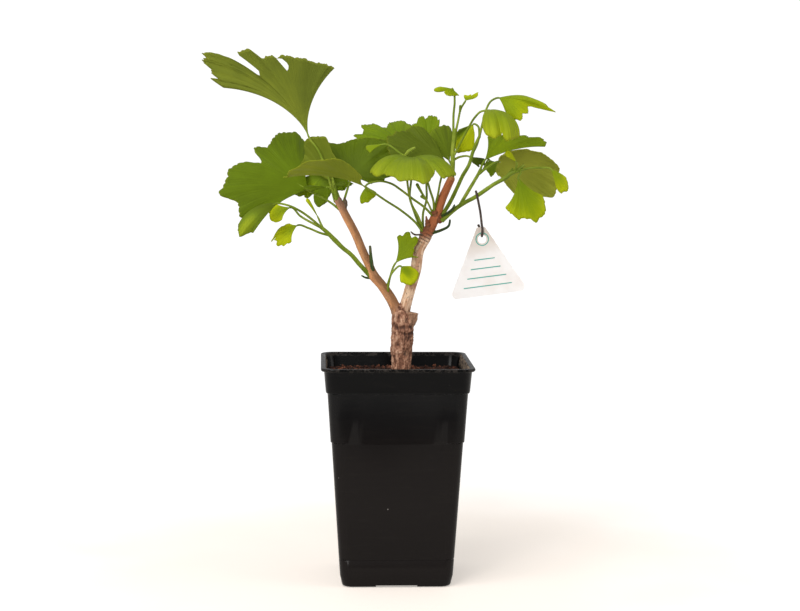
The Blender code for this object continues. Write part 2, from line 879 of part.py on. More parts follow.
def rounded_square(half, radius, height):
    """Corner arcs of a rounded square, counterclockwise, in metres."""
    ring = []
    for quarter in range(4):
        for step in range(CORNER_STEPS + 1):
            angle = math.radians(90 * (quarter + step / CORNER_STEPS))
            middle = math.radians(90 * quarter + 45)
            x = (half - radius) * math.copysign(1, math.cos(middle)) + radius * math.cos(angle)
            y = (half - radius) * math.copysign(1, math.sin(middle)) + radius * math.sin(angle)
            ring.append((x * MM, y * MM, height * MM))
    return ring


def loft(rings, close_ends=True):
    """A closed skin through rings of equal count."""
    bm = bmesh.new()
    loops = [[bm.verts.new(point) for point in ring] for ring in rings]
    count = len(loops[0])
    for low, high in zip(loops[:-1], loops[1:]):
        for index in range(count):
            after = (index + 1) % count
            bm.faces.new((low[index], low[after], high[after], high[index]))
    if close_ends:
        bm.faces.new(loops[0])
        bm.faces.new(loops[-1])
    bmesh.ops.recalc_face_normals(bm, faces=bm.faces)
    return bm


def corner_radius(height):
    return float(np.interp(height, (0, POT_HEIGHT), POT_CORNER))


def inside_half_width(height):
    heights, widths = zip(*POT_INSIDE)
    return float(np.interp(height, heights, widths))


def inside_ring(height, smaller=0.0):
    """A ring on the pot's inner face at a height, or set in from it."""
    half = inside_half_width(height) - smaller
    return rounded_square(half, corner_radius(height) - 0.7, height)


def box_cutter(name, low, high, collection):
    """A box between two corners, in millimetres."""
    middle = [(a + b) / 2 * MM for a, b in zip(low, high)]
    bpy.ops.mesh.primitive_cube_add(size=1, location=middle)
    cutter = bpy.context.object
    cutter.name = name
    cutter.scale = [(b - a) * MM for a, b in zip(low, high)]
    bpy.ops.object.transform_apply(location=False, rotation=False, scale=True)
    place(cutter, collection)
    return cutter


def make_pot(parts, cutters):
    rings = [rounded_square(half, corner_radius(height), height) for height, half in POT_OUTSIDE]
    rings.append(rounded_square(LIP_HALF_WIDTH - 3.4, corner_radius(POT_HEIGHT) - 1, POT_HEIGHT))
    rings += [inside_ring(height) for height, _ in reversed(POT_INSIDE)]
    pot = object_of("pot", loft(rings), parts)
    reach = LIP_HALF_WIDTH
    half = FOOT_CHANNEL[0] / 2
    bottom = -1.0
    spans = (
        ((FOOT_PAD, -half), (reach, half)),
        ((-reach, -half), (-FOOT_PAD, half)),
        ((-half, FOOT_PAD), (half, reach)),
        ((-half, -reach), (half, -FOOT_PAD)),
    )
    for index, (low, high) in enumerate(spans):
        cutter = box_cutter(
            f"foot_channel_{index + 1}", (*low, bottom), (*high, FOOT_CHANNEL[1]), cutters
        )
        boolean(pot, cutter, "DIFFERENCE")
    for index in range(4):
        angle = math.radians(90 * index)
        at = (DRAIN_AT * MM * math.cos(angle), DRAIN_AT * MM * math.sin(angle), 0)
        bpy.ops.mesh.primitive_cylinder_add(
            vertices=16, radius=DRAIN_RADIUS * MM, depth=20 * MM, location=at
        )
        cutter = bpy.context.object
        cutter.name = f"drain_hole_{index + 1}"
        place(cutter, cutters)
        boolean(pot, cutter, "DIFFERENCE")
    return pot


def soil_height(x, y):
    """The lumpy surface of the soil, as a sum of waves."""
    waves = (
        math.sin(0.31 * x + 0.9) * math.cos(0.27 * y)
        + 0.6 * math.sin(0.62 * y - 0.33 * x)
        + 0.5 * math.cos(0.83 * x + 0.47 * y)
    )
    return SOIL_TOP + SOIL_RELIEF * waves / 2


def make_soil(parts, cutters):
    heights = [height for height, _ in POT_INSIDE if height < SOIL_TOP]
    rings = [inside_ring(height, GAP) for height in (heights[0] + GAP, *heights[1:], SOIL_TOP - 2.5)]
    half = inside_half_width(SOIL_TOP) - GAP
    for share in (0.985, 0.85, 0.7, 0.55, 0.4, 0.25):
        ring = rounded_square(half * share, corner_radius(SOIL_TOP) * share, SOIL_TOP)
        rings.append([(x, y, soil_height(x / MM, y / MM) * MM) for x, y, _ in ring])
    bm = loft(rings)
    bmesh.ops.triangulate(bm, faces=[face for face in bm.faces if len(face.verts) > 4])
    soil = object_of("soil", bm, parts)
    hole = tube(
        "trunk_hole",
        (
            (TRUNK[0][0], TRUNK[0][1], TRUNK_FOOT - GAP, TRUNK_FOOT_RADIUS + GAP),
            (TRUNK[0][0], TRUNK[0][1], SOIL_TOP + 10, TRUNK_FOOT_RADIUS + GAP),
        ),
        cutters,
        spacing=60,
        resolution=6,
    )
    boolean(soil, hole, "DIFFERENCE")
    return soil


def furrow_bark(trunk):
    """Presses upright furrows into the trunk above the soil."""
    for vertex in trunk.data.vertices:
        x, y, z = (value / MM for value in vertex.co)
        center = float(np.interp(z, [p[2] for p in TRUNK], [p[0] for p in TRUNK]))
        angle = math.atan2(y, x - center)
        fade = min(1, max(0, (z - SOIL_TOP - 2) / 6)) * min(1, max(0, (TRUNK[-1][2] - z) / 4))
        ridge = math.sin(BARK_RIDGES * angle + 1.6 * math.sin(z / 6)) * math.cos(z / 3.1 + angle)
        push = BARK_DEPTH * fade * ridge * MM
        vertex.co.x += push * math.cos(angle)
        vertex.co.y += push * math.sin(angle)


def make_wood(name, collection, extra=0.0):
    """Trunk, cut stub, both branches, spurs, buds and last year's dried stalks, grown as one."""
    wood = tube(name, TRUNK, collection, spacing=3.6, resolution=6, extra=extra)
    furrow_bark(wood)
    for key, points in LIMBS.items():
        boolean(wood, tube(key, points, collection, spacing=5, resolution=3, extra=extra), "UNION")
    for key, points in SPURS.items():
        boolean(wood, tube(key, points, collection, spacing=3, resolution=2, extra=extra), "UNION")
    for key, points in DRIED_STALKS.items():
        boolean(wood, tube(key, points, collection, extra=extra), "UNION")
    return wood


def make_shoot(name, parts, clearances):
    """A green shoot with its buds, cut clear of what it grows from. Also its inflated copy."""
    parent, *points = SHOOTS[name]
    for copy, collection, extra in ((name, parts, 0.0), (name + "_clear", clearances["where"], GAP)):
        shoot = tube(copy, points, collection, resolution=1, extra=extra)
        for bud in SHOOT_BUDS.get(name, ()):
            boolean(shoot, tube("bud", bud, collection, extra=extra), "UNION")
        boolean(shoot, clearances[parent], "DIFFERENCE")
        if collection is parts:
            made = shoot
        else:
            clearances[name] = shoot
    return made


def make_blade(name, leaf, collection):
    """The fan-shaped blade: one sheet, its lobes joined below the clefts, thickened both ways."""
    rows = leaf.get("rows", 4)
    bm = bmesh.new()
    known = {}

    def vertex(point):
        key = tuple(np.round(point, 3))
        if key not in known:
            known[key] = bm.verts.new(point * MM)
        return known[key]

    for grid in blade_lobes(leaf, leaf["columns"], rows):
        for row in range(rows):
            for column in range(grid.shape[1] - 1):
                corners = (
                    vertex(grid[row, column]),
                    vertex(grid[row, column + 1]),
                    vertex(grid[row + 1, column + 1]),
                    vertex(grid[row + 1, column]),
                )
                for three in ((0, 1, 2), (0, 2, 3)):
                    face = [corners[index] for index in three]
                    if len(set(face)) == 3:
                        bm.faces.new(face)
    blade = object_of(name, bm, collection)
    shell = blade.modifiers.new("thickness", "SOLIDIFY")
    shell.thickness = BLADE_THICKNESS * MM
    shell.offset = 0
    bake(blade)
    return blade


def make_leaf(name, parts, clearances):
    leaf = LEAVES[name]
    rim_middle = (leaf["rim"][0][0] + leaf["rim"][-1][0]) / 2
    inner = blade_places(leaf, np.array([rim_middle]), np.array([0.12]), np.array([leaf["rim"][0][1]]))
    ends = [*leaf["stalk"], leaf["base"], tuple(inner[0])]
    radii = np.linspace(STALK_RADIUS[0], STALK_RADIUS[1], len(ends))
    radii[-1] = 0.5
    points = [(*end, radius) for end, radius in zip(ends, radii)]
    obj = make_blade(name, leaf, parts)
    boolean(obj, tube("stalk", points, parts, spacing=5), "UNION")
    if "bud" in leaf:
        boolean(obj, tube("bud", leaf["bud"], parts), "UNION")
    boolean(obj, clearances[leaf["grows_from"]], "DIFFERENCE")
    return obj


def label_outline():
    """Corners of the label about its hole, each rounded by an arc."""
    low, high = -LABEL_BELOW_HOLE, LABEL_ABOVE_HOLE
    corners = ((-LABEL_WIDTH / 2, low), (LABEL_WIDTH / 2, low), (2.9, high), (-2.9, high))
    radii = (LABEL_CORNER, LABEL_CORNER, 1.6, 1.6)
    outline = []
    for index, (corner, radius) in enumerate(zip(corners, radii)):
        corner = np.array(corner)
        before = np.array(corners[index - 1]) - corner
        after = np.array(corners[(index + 1) % 4]) - corner
        before /= np.linalg.norm(before)
        after /= np.linalg.norm(after)
        bisector = (before + after) / np.linalg.norm(before + after)
        half_angle = math.acos(float(before @ after)) / 2
        center = corner + bisector * radius / math.sin(half_angle)
        start = math.atan2(*(corner + before * radius / math.tan(half_angle) - center)[::-1])
        sweep = math.pi - 2 * half_angle
        for step in range(7):
            angle = start + sweep * step / 6
            outline.append(center + radius * np.array([math.cos(angle), math.sin(angle)]))
    return outline


def make_label(parts):
    curve = bpy.data.curves.new("label", "CURVE")
    curve.dimensions = "2D"
    curve.fill_mode = "BOTH"
    curve.extrude = LABEL_THICKNESS / 2 * MM
    hole = [
        LABEL_HOLE_RADIUS * np.array([math.cos(angle), math.sin(angle)])
        for angle in np.linspace(0, 2 * math.pi, 24, endpoint=False)
    ]
    for outline in (label_outline(), hole):
        spline = curve.splines.new("POLY")
        spline.use_cyclic_u = True
        spline.points.add(len(outline) - 1)
        for point, (x, y) in zip(spline.points, outline):
            point.co = (x * MM, y * MM, 0, 1)
    guide = bpy.data.objects.new("label_guide", curve)
    place(guide, parts)
    bm = bmesh.new()
    bm.from_mesh(evaluated_mesh(guide))
    bmesh.ops.remove_doubles(bm, verts=bm.verts, dist=1e-6)
    bmesh.ops.recalc_face_normals(bm, faces=bm.faces)
    bpy.data.objects.remove(guide, do_unlink=True)
    label = object_of("label", bm, parts)
    label.rotation_euler = (math.radians(90), math.radians(-LABEL_TILT), 0)
    label.location = [value * MM for value in LABEL_HOLE_AT]
    return label


def wire_route():
    """The wire from its turned-up end behind the label, through the hole and up to its hook."""
    x, y, z = LABEL_HOLE_AT
    back = [(x - 2.0, y + WIRE_FRONT, z + 9.2), (x - 0.8, y + WIRE_FRONT, z + 5.6)]
    seat = []
    for degrees in (150, 120, 90, 60, 30):
        angle = math.radians(degrees)
        seat.append(
            (
                x - 0.2,
                y - WIRE_FRONT * math.cos(angle),
                z + WIRE_SEAT + WIRE_FRONT * (1 - math.sin(angle)),
            )
        )
    front = [(x, y - WIRE_FRONT, z + 5.6)]
    return [*back, *seat, *front, *WIRE_HOOK]


def make_wire(parts):
    points = [(*at, WIRE_RADIUS) for at in wire_route()]
    return tube("label_wire", points, parts, spacing=1.3, resolution=1)


def finish(obj, material, angle=40):
    keep_largest_body(obj)
    obj.data.materials.clear()
    obj.data.materials.append(material)
    obj.data.shade_smooth()
    obj.data.set_sharp_from_angle(angle=math.radians(angle))


def main():
    clear_scene()
    parts = add_collection(OBJECT_NAME, False)
    cutters = add_collection("cutters", True)
    materials = {name: add_material(name) for name in COLORS}
    finish(make_pot(parts, cutters), materials["pot"])
    finish(make_soil(parts, cutters), materials["soil"])
    finish(make_wood("trunk", parts), materials["bark"])
    clearances = {"where": cutters, "trunk": make_wood("trunk_clear", cutters, GAP)}
    for name in SHOOTS:
        finish(make_shoot(name, parts, clearances), materials["shoot"])
    for name in LEAVES:
        finish(make_leaf(name, parts, clearances), materials["leaf"])
    finish(make_label(parts), materials["label"])
    finish(make_wire(parts), materials["wire"])


if __name__ == "__main__":
    main()
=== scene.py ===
"""Dresses the packed ginkgo bonsai: bark, green shoots, fan leaves, pot, soil and a blank hanging label.

Sizes and places in the tables are millimetres. The scene is in metres, +Z up, and the origin is the
middle of the pot's underside. +X is the right of the tree's front view and +Y points away behind it.
"""

import math

import bpy
import numpy as np
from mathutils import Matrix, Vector, noise


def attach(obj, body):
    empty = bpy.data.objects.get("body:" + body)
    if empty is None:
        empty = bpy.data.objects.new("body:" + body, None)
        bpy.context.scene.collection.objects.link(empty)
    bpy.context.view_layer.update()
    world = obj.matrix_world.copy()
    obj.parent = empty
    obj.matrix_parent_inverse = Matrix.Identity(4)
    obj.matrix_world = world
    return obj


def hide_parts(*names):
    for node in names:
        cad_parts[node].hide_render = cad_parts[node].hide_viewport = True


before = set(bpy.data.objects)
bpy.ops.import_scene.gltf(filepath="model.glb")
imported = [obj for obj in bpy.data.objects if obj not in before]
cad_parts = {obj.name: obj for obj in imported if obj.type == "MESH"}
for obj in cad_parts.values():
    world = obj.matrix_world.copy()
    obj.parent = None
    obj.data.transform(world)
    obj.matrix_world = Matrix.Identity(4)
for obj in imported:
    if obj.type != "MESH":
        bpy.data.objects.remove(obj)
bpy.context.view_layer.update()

bl_info = {
    "name": "Ginkgo bonsai in its pot",
    "version": (1, 0, 0),
    "blender": (4, 5, 0),
    "location": "View3D > Sidebar > Ginkgo",
    "description": "Grows a young ginkgo bonsai in a square nursery pot, piece by piece",
    "category": "Add Mesh",
}

MM = 0.001

# The pot: its outside from the foot up to the lip, and its inside, are (height, half width) points
LIP_HALF_WIDTH = 55.0
POT_OUTSIDE = (
    (0.0, 38.2), (0.5, 39.0), (1.6, 39.5), (3.2, 39.8), (8.0, 40.9), (19.2, 41.65), (19.6, 41.4),
    (20.2, 41.4), (20.6, 41.75), (61.5, 44.4), (104.6, 47.15), (105.6, 47.25), (106.2, 48.0),
    (124.0, 49.1), (140.6, 50.2), (141.4, 50.4), (142.0, 51.2), (143.0, 51.5), (156.8, 52.7),
    (157.6, 53.2), (157.7, 54.3), (158.2, 54.8), (159.0, 55.0), (159.7, 54.8), (160.0, 54.2),
    (160.0, 52.4), (159.6, 51.6), (158.6, 51.1),
)
POT_INSIDE = ((2.8, 38.1), (20.0, 40.4), (61.5, 43.1), (106.0, 46.3), (141.0, 48.9), (159.6, 51.2))
POT_CORNER = (6.5, 8.7)
FOOT_CHANNEL = (30.0, 1.2)
FOOT_PAD = 11.0
DRAIN_RADIUS = 4.0
DRAIN_AT = 24.0
SOIL_TOP = 149.0
SOIL_RELIEF = 1.5
SOIL_GAP = 0.3

# Woody limbs: (x, y, z, radius) along each
LIMBS = {
    "trunk": (
        (4, 0, 119, 6.9), (4, 0, 149, 6.9), (4, 0, 160, 7.2), (4, 0, 168, 7.8), (4.5, 0, 175, 8.0),
        (5, 0, 182, 8.3), (4, 0, 188, 7.6), (3, 0, 196, 5.8), (2.4, 0, 200, 3.4),
    ),
    "stub": (
        (5, 0, 177, 5.5), (8.3, 0, 184, 5.0), (10.6, 0, 190, 4.6), (11.4, 0, 194.2, 4.5),
        (11.6, 0, 195.4, 4.9),
    ),
    "left": (
        (4, 0, 185, 4.8), (-2, -1, 202, 3.9), (-11, -3, 216, 3.5), (-17, -4, 223, 3.8),
        (-20, -4.5, 230, 3.2), (-25, -6, 241, 3.1), (-31, -7, 255, 3.1), (-37.5, -8, 267, 3.0),
        (-44, -9, 280, 2.8),
    ),
    "right": (
        (5, 0, 187, 4.8), (7, 0, 201, 4.2), (10, 1, 212, 4.0), (14, 1, 226, 4.0), (17, 2, 242, 4.0),
        (21, 2, 250, 4.6), (23, 2, 254, 4.2), (28, 3, 264, 3.6), (34, 4, 280, 3.2), (41, 4, 295.5, 2.9),
    ),
    "spur_low": ((21, 1.5, 254, 3.6), (18.4, -0.4, 257.6, 3.1)),
    "spur_high": ((29, 3, 266, 3.2), (26, -0.4, 270.6, 2.6)),
    "spur_right": ((30, 3, 262.5, 3.4), (34, 1.8, 266, 3.0)),
    "bud_cone": ((23, 0, 256, 2.0), (22.3, -2, 261, 1.8), (21.3, -2.2, 266.5, 0.5)),
    "bud_left": ((-38.5, -8, 270, 1.6), (-37.2, -9, 276, 1.4), (-38.4, -9, 280, 0.5)),
    "bud_right": ((40, 3, 292, 1.9), (39.2, 0.3, 292.6, 1.3)),
    "dried_left_long": (
        (-17, -4, 222, 1.4), (-17.7, -7.5, 229, 1.25), (-18.9, -8.5, 237, 1.15), (-19.6, -8, 245, 0.95),
    ),
    "dried_left_short": ((-15, -3.5, 222, 1.1), (-22, -5, 221, 0.9), (-26, -6, 223, 0.7)),
    "dried_fork": ((20, 0, 253, 0.9), (16, -2.5, 252.5, 0.7), (13, -3, 252.6, 0.7), (10, -4, 255, 0.6)),
    "dried_right_long": (
        (24, 1.5, 253, 1.3), (33, -1, 256, 1.15), (38, -2, 259, 1.05), (39, -2, 264, 0.85),
    ),
    "dried_right_short": (
        (33, 0, 266, 1.1), (38, -5.5, 269.5, 1.0), (40.5, -7, 272, 0.95), (42, -7, 275, 0.8),
    ),
}

# This year's green shoots: (x, y, z, radius) along each, then their buds
SHOOTS = {
    "shoot_low_left": (
        (
            (-15, -2.5, 217.5, 1.7), (-27, -8, 231, 1.7), (-34, -11, 239, 1.6), (-39, -13, 243, 1.6),
            (-45, -16, 249, 1.8), (-52, -19, 256, 1.5), (-57, -20.5, 260, 1.3),
        ),
        ((-43, -15, 247, 1.2), (-47, -16, 252.5, 0.6)),
    ),
    "shoot_left_tip": (((-43.8, -10.6, 278, 1.3), (-45, -11.6, 285, 1.3), (-47, -12, 294, 0.7)),),
    "shoot_upright": (
        (
            (40.3, 4, 292, 1.8), (41, 4, 303, 1.7), (41, 4, 314, 1.6), (42, 4, 323, 1.8),
            (42, 4, 330, 1.7),
        ),
    ),
    "shoot_right_tall": (
        (
            (32.5, 3.5, 265, 1.6), (39, 1.5, 276, 1.5), (44, -2, 287, 1.4), (48, -3, 296, 1.4),
            (52, -4, 303, 1.3), (55, -5, 313, 1.3), (58, -6, 321, 1.2), (60, -6, 325, 1.1),
        ),
    ),
    "shoot_right_long": (
        (
            (33, 0, 262.5, 1.7), (42, -3, 271, 1.6), (49, -6, 276, 1.5), (56, -9, 280, 1.5),
            (63, -12, 285, 1.5), (70, -14, 290, 1.4), (77, -16, 294, 1.5), (84, -18, 299, 1.5),
            (88, -18, 300, 1.2),
        ),
        ((86, -18, 299.5, 1.2), (91, -19, 304, 1.1)),
        ((79, -16.5, 296, 1.0), (83, -19, 301.5, 0.7)),
    ),
    "shoot_right_fork": (
        (
            (45.5, -4.8, 273.6, 1.3), (52, 0, 284, 1.3), (57, 3, 292, 1.2), (60, 5, 297, 1.2),
            (62, 6, 301, 1.1),
        ),
    ),
    "bud_stalk": (
        ((25.6, -1, 269.6, 0.8), (22.2, -4.8, 276.5, 0.7), (18, -6, 283, 0.9), (14, -7, 290, 1.3)),
        ((21.5, -4.6, 278, 0.7), (17, -6.5, 281, 1.2)),
    ),
}

# The seed of the shoots' slight unevenness
SHOOT_SEED = 3

# Marks on the bark: heights of the trunk's dark rings, of the left branch's node and of the rings on
# the right branch, (x, z) of the dark eyes in the fork, and the heights between which old bark ends
TRUNK_RINGS = (185, 180.5, 172)
LEFT_NODE = 221.5
RIGHT_RINGS = 250.5
FORK_EYES = ((-3.4, 199), (5.8, 200))
OLD_BARK_ENDS = (205, 190)

# How far apart the limbs' bark patterns are, so that no two limbs share one
GRAIN_APART = 31

# Each leaf, in millimetres and degrees. Where the blade lies: base is where it meets its stalk, aim is
# (azimuth, rise, roll), cone rolls it, droop bends its rays down and swell domes it. Its outline: rim is
# (angle from the middle ray, reach), neck and spread draw the angles in near the base, scallop is (depth,
# width), ragged is the height of the teeth, and clefts are (angle, share where it starts, degrees that the
# side before it opens, and where given the degrees of the side after it and that side's bulge). stalk is
# the way to the base and bud a bud beside it. Its looks: tone runs from 0, deep green, to 1, yellow, at
# the base and at the rim, olive is how grey the green is, and patches are (angle, share, across, along,
# tone). Most rims were worked out by a solver from outline points picked one by one, then changed in places
LEAVES = {
    "leaf_top_left": {
        "base": (-64, -8, 323), "aim": (185, 70, 75),
        "rim": (
            (-40.4, 71), (-39.9, 79.5), (-38.4, 78.4), (-37.6, 77), (-37.4, 81.4), (-36.6, 83.3),
            (-36, 85.1), (-35.5, 86), (-35.3, 91.5), (-34.9, 91.2), (-34.6, 94), (-34, 92.7),
            (-33.6, 94), (-33, 92.7), (-32.5, 93.2), (-32.3, 96.8), (-31.6, 96.4), (-30.5, 94.5),
            (-28.6, 90.4), (-25.5, 81.5), (-20.8, 74.4), (-20.4, 78.3), (-19.1, 78.2), (-16.5, 77.5),
            (-14.8, 77), (-13.8, 75), (-12.4, 71.2), (-10.4, 65.5), (-7.7, 65.1), (-3.9, 63.9),
            (-2.1, 61.6), (1.1, 62), (4.4, 61), (10.8, 57.9), (18, 56.6), (22.5, 54.6), (27.9, 54),
            (33.3, 54.4), (37.3, 54.2), (41.3, 54.3),
        ),
        "clefts": ((-20.5, 0.78, 4.5, 0), (2.4, 0.81, 4.5, -4.5, 5)), "droop": 10, "neck": 0.05,
        "stalk": ((-45, -8.8, 276), (-47.6, -8.6, 286), (-52, -9, 301), (-57, -9, 313)),
        "tone": (0.54, 0.5), "olive": 0.8, "scallop": (0.3, 3.0), "ragged": 1.2, "spread": 0.7,
        "patches": ((25, 0.7, 16, 0.4, -0.14),),
    },
    "leaf_wide_left": {
        "base": (-65, -10, 285), "aim": (180, 30, -50),
        "rim": (
            (-72.6, 41), (-69.3, 49.6), (-64.1, 54.6), (-61, 56.9), (-56.9, 57.2), (-53.2, 56.4),
            (-48, 56.4), (-43.6, 54.5), (-36.7, 50.5), (-31.7, 47.7), (-27.6, 45.9), (-23.5, 46.8),
            (-19.7, 50.1), (-17.1, 50.6), (-13.3, 49.6), (-10.7, 46.5), (-8.6, 41.5), (-4.6, 38.9),
            (-1.2, 42.8), (2.7, 48.7), (5.9, 52.3), (9, 54.5), (13.5, 57.2), (17.7, 59.2), (21, 58.6),
            (24.5, 59.5), (30.7, 62.1), (36.4, 64.8), (38.9, 60), (42, 54.8), (45.7, 53.5),
            (55.7, 55.1), (60.3, 49.9), (68, 46),
        ),
        "cone": 8, "droop": 15, "stalk": ((-41, -8, 270), (-47, -9.5, 275), (-57, -10, 281)),
        "tone": (0.36, 0.36), "scallop": (1.0, 4.0), "neck": 0.8,
    },
    "leaf_drooping_left": {
        "base": (-86, -34, 276), "aim": (195, 15, -20),
        "rim": (
            (24.8, 32.2), (36.2, 38.1), (45.7, 41.5), (50.8, 42.1), (55.4, 38.3), (59.5, 35),
            (63.2, 34.6),
        ),
        "cone": 15, "droop": 80, "neck": 1.0,
        "stalk": ((-55, -19.8, 258.4), (-63, -25, 265.5), (-70, -29, 270.5), (-78, -33, 274.5)),
        "tone": (0.24, 0.52), "olive": 0.3, "patches": ((48, 0.8, 9, 0.3, 0.35),),
    },
    "leaf_upright_left": {
        "base": (-48, -4, 291), "aim": (180, 72, 60),
        "rim": (
            (-46, 27), (-33.5, 26), (-22.6, 30.5), (-14.9, 34.8), (-8.4, 35.2), (-1.2, 34.8),
            (8.5, 33.3), (17, 32.2), (21.2, 25.7), (33.3, 19.2), (42.5, 15.5),
        ),
        "cone": 5, "droop": 10, "neck": 1.0, "stalk": ((-44, -7.4, 277.6), (-45.6, -4.8, 284.5)),
        "tone": (0.52, 0.5), "olive": 0.6,
    },
    "leaf_long_left": {
        "base": (-24, -24, 288), "aim": (190, 12, 14),
        "rim": (
            (-2, 60), (1.5, 57.8), (7.6, 58.6), (11.2, 60.1), (14.7, 60.5), (20.5, 58.7), (26.1, 58.1),
            (30.1, 57.4), (34.1, 54.6), (39.3, 49.8), (44.5, 43.6), (49, 37.6), (52.1, 29.3),
            (55.8, 21), (63.4, 11.1),
        ),
        "cone": -40, "droop": 15, "neck": 0.24,
        "stalk": ((18.6, -1.6, 255), (14, -5.4, 261), (2, -11, 271), (-9, -17, 278), (-17, -21, 283.5)),
        "tone": (0.66, 0.72), "olive": 0.6,
    },
    "leaf_inner_left": {
        "base": (-33, 2, 295), "aim": (20, 50, 50),
        "rim": (
            (-76.5, 16.3), (-65.4, 19.8), (-62.4, 24.1), (-57.8, 25.5), (-56, 27.5), (-53.9, 28.9),
            (-42.1, 30.9), (-28.4, 33.3), (-15.3, 36.2), (-5.3, 38), (2.7, 36), (12.3, 34.1),
            (21, 32.5), (33.1, 31.1), (43.2, 30.2), (55.2, 30.3), (66.3, 33.9), (72, 37.4),
            (79.4, 36.3), (88.2, 28.9), (95.8, 16.6),
        ),
        "cone": 5, "droop": 15, "neck": 1.0,
        "stalk": ((-39.5, -7, 274), (-37, -3.5, 282), (-34.5, 0.5, 290)), "tone": (0.28, 0.3),
    },
    "leaf_curled_left": {
        "base": (-23, -16, 287), "aim": (-20, -60, 60),
        "rim": (
            (-72.9, 5.9), (-60.7, 10.1), (-50.1, 11.9), (-39.3, 11.6), (-31, 10.6), (-22.5, 11.1),
            (-6.3, 9.6), (19.7, 9.4), (53.4, 9),
        ),
        "cone": 35, "droop": 20, "neck": 1.0,
        "stalk": (
            (26, 0.5, 266.6), (20, -4.2, 272.6), (11, -6, 279), (3, -8, 285), (-5, -12, 290),
            (-14, -14, 291.5),
        ),
        "tone": (0.55, 0.85),
    },
    "leaf_back_left": {
        "base": (-51, 3, 298), "aim": (180, -42, -60),
        "rim": (
            (-34, 35), (-23.9, 33.6), (-16.6, 31.3), (-9.9, 29.1), (-3.2, 27.2), (0.6, 24.6),
            (7.2, 24.7), (10.5, 23.5), (13, 20), (15.5, 19.4), (18.4, 20.4), (27.3, 24.6), (32.7, 26.6),
            (37.9, 26.5), (42.5, 24.4), (49.8, 22.2), (54.5, 19.3), (60.9, 16.2), (76.1, 15.7),
            (91.3, 18.4), (99.8, 18.9), (110.2, 20), (118.4, 21.9),
        ),
        "cone": 12, "droop": 20, "neck": 1.0,
        "stalk": ((-40, -7.4, 273.5), (-43, -1, 282), (-47, 2, 292)), "tone": (0.34, 0.5),
        "patches": ((0, 0.75, 16, 0.3, 0.3),),
    },
    "leaf_young_left": {
        "base": (-50, -14, 287), "aim": (190, 2, -25), "rim": ((-22, 13), (0, 18), (22, 13)),
        "cone": 35, "droop": 8, "stalk": ((-44.9, -11.2, 282.5),), "tone": (0.2, 0.25),
    },
    "leaf_young_inner": {
        "base": (-46.5, -13.4, 288.5), "aim": (-6, 14, 36), "rim": ((-28, 7), (0, 9), (28, 7)),
        "cone": 30, "droop": 10, "stalk": ((-45.4, -11.6, 284.5), (-46.2, -12.6, 287)),
        "tone": (0.2, 0.25),
    },
    "leaf_shoot_upper": {
        "base": (-77, -30, 273), "aim": (185, -35, -60),
        "rim": (
            (-61.7, 13.1), (-45, 14.7), (-34.1, 16.4), (-21.8, 16.4), (-8.3, 16.7), (1.2, 16),
            (15.1, 13), (20, 10.3),
        ),
        "cone": 15, "droop": 20, "stalk": ((-54, -19.8, 257.6), (-60, -25, 261), (-70, -29, 267)),
        "tone": (0.6, 1.0),
    },
    "leaf_shoot_lower": {
        "base": (-72, -24, 260), "aim": (185, -36, -60),
        "rim": (
            (-59.5, 6.6), (-45.2, 10.8), (-34.8, 14.5), (-23.2, 17), (-14, 20.2), (-7.5, 22.4),
            (-4.5, 19.5), (3.6, 20.4), (10.2, 19.9), (12.2, 18.4), (19.9, 17.7), (22.3, 16),
            (28.8, 14.4), (34.5, 12.7),
        ),
        "clefts": ((-21, 0.68, -13, 17.5),), "cone": 15, "droop": 20,
        "stalk": ((-49.5, -17.8, 252.6), (-56, -21, 254.6), (-64, -23, 258)), "tone": (0.72, 1.15),
    },
    "leaf_shoot_tip": {
        "base": (-57, -18, 265), "aim": (180, 62, -40), "rim": ((-7, 15), (0, 16.5), (7, 15)),
        "cone": 30, "droop": 10, "neck": 1.0, "stalk": ((-53.5, -19.4, 257.5), (-55.5, -17.8, 261.5)),
        "tone": (0.7, 0.95),
    },
    "leaf_fork_upper": {
        "base": (-1, -8, 232), "aim": (0, 48, 70),
        "rim": (
            (-34.2, 17.7), (-23.3, 14), (-12.5, 16.9), (-6.2, 18.6), (-3.7, 21.5), (-0.9, 23.6),
            (4.8, 24.6), (8.3, 24), (10.1, 22.5), (14.7, 22.9), (19, 24.6), (23.7, 24.9), (27.5, 23.8),
            (28.6, 22.2), (36.2, 21.6), (41.7, 19.9),
        ),
        "cone": 10, "droop": 10, "stalk": ((-7.5, -2.4, 212), (-5, -6.5, 221)), "tone": (0.62, 0.7),
    },
    "leaf_fork_lower": {
        "base": (3, -12, 230), "aim": (0, -40, 60),
        "rim": (
            (-59.9, 7.2), (-54.3, 11.1), (-45.1, 12.2), (-32.8, 13.9), (-25.2, 15.3), (-15, 15.5),
            (2.8, 15.5), (16.4, 15.2), (28.4, 14.2), (38.3, 10.9), (50.3, 7.9),
        ),
        "cone": 15, "droop": 15, "neck": 1.0,
        "stalk": ((-6, -2.4, 208), (-6, -8.5, 216), (-3, -12.5, 226)), "tone": (0.72, 1.12),
        "patches": ((-40, 0.75, 14, 0.3, 0.35), (0, 0.35, 30, 0.25, -0.15)),
    },
    "leaf_front_middle": {
        "base": (10, -14, 308), "aim": (-90, 12, 0),
        "rim": (
            (-80, 30), (-71.6, 34.4), (-55.2, 38.5), (-47.1, 41), (-41.4, 38.3), (-39.3, 36.5),
            (-31.4, 38.5), (-23.7, 39.6), (-15.9, 43.6), (-9.5, 46), (-2, 46.6), (5.2, 47.6),
            (7.1, 51.2), (12.5, 48), (17.8, 42.4), (21.1, 39.7), (27.8, 37), (30.4, 39.9), (39.7, 41),
            (46.2, 42.1), (69.3, 35.3), (78, 31),
        ),
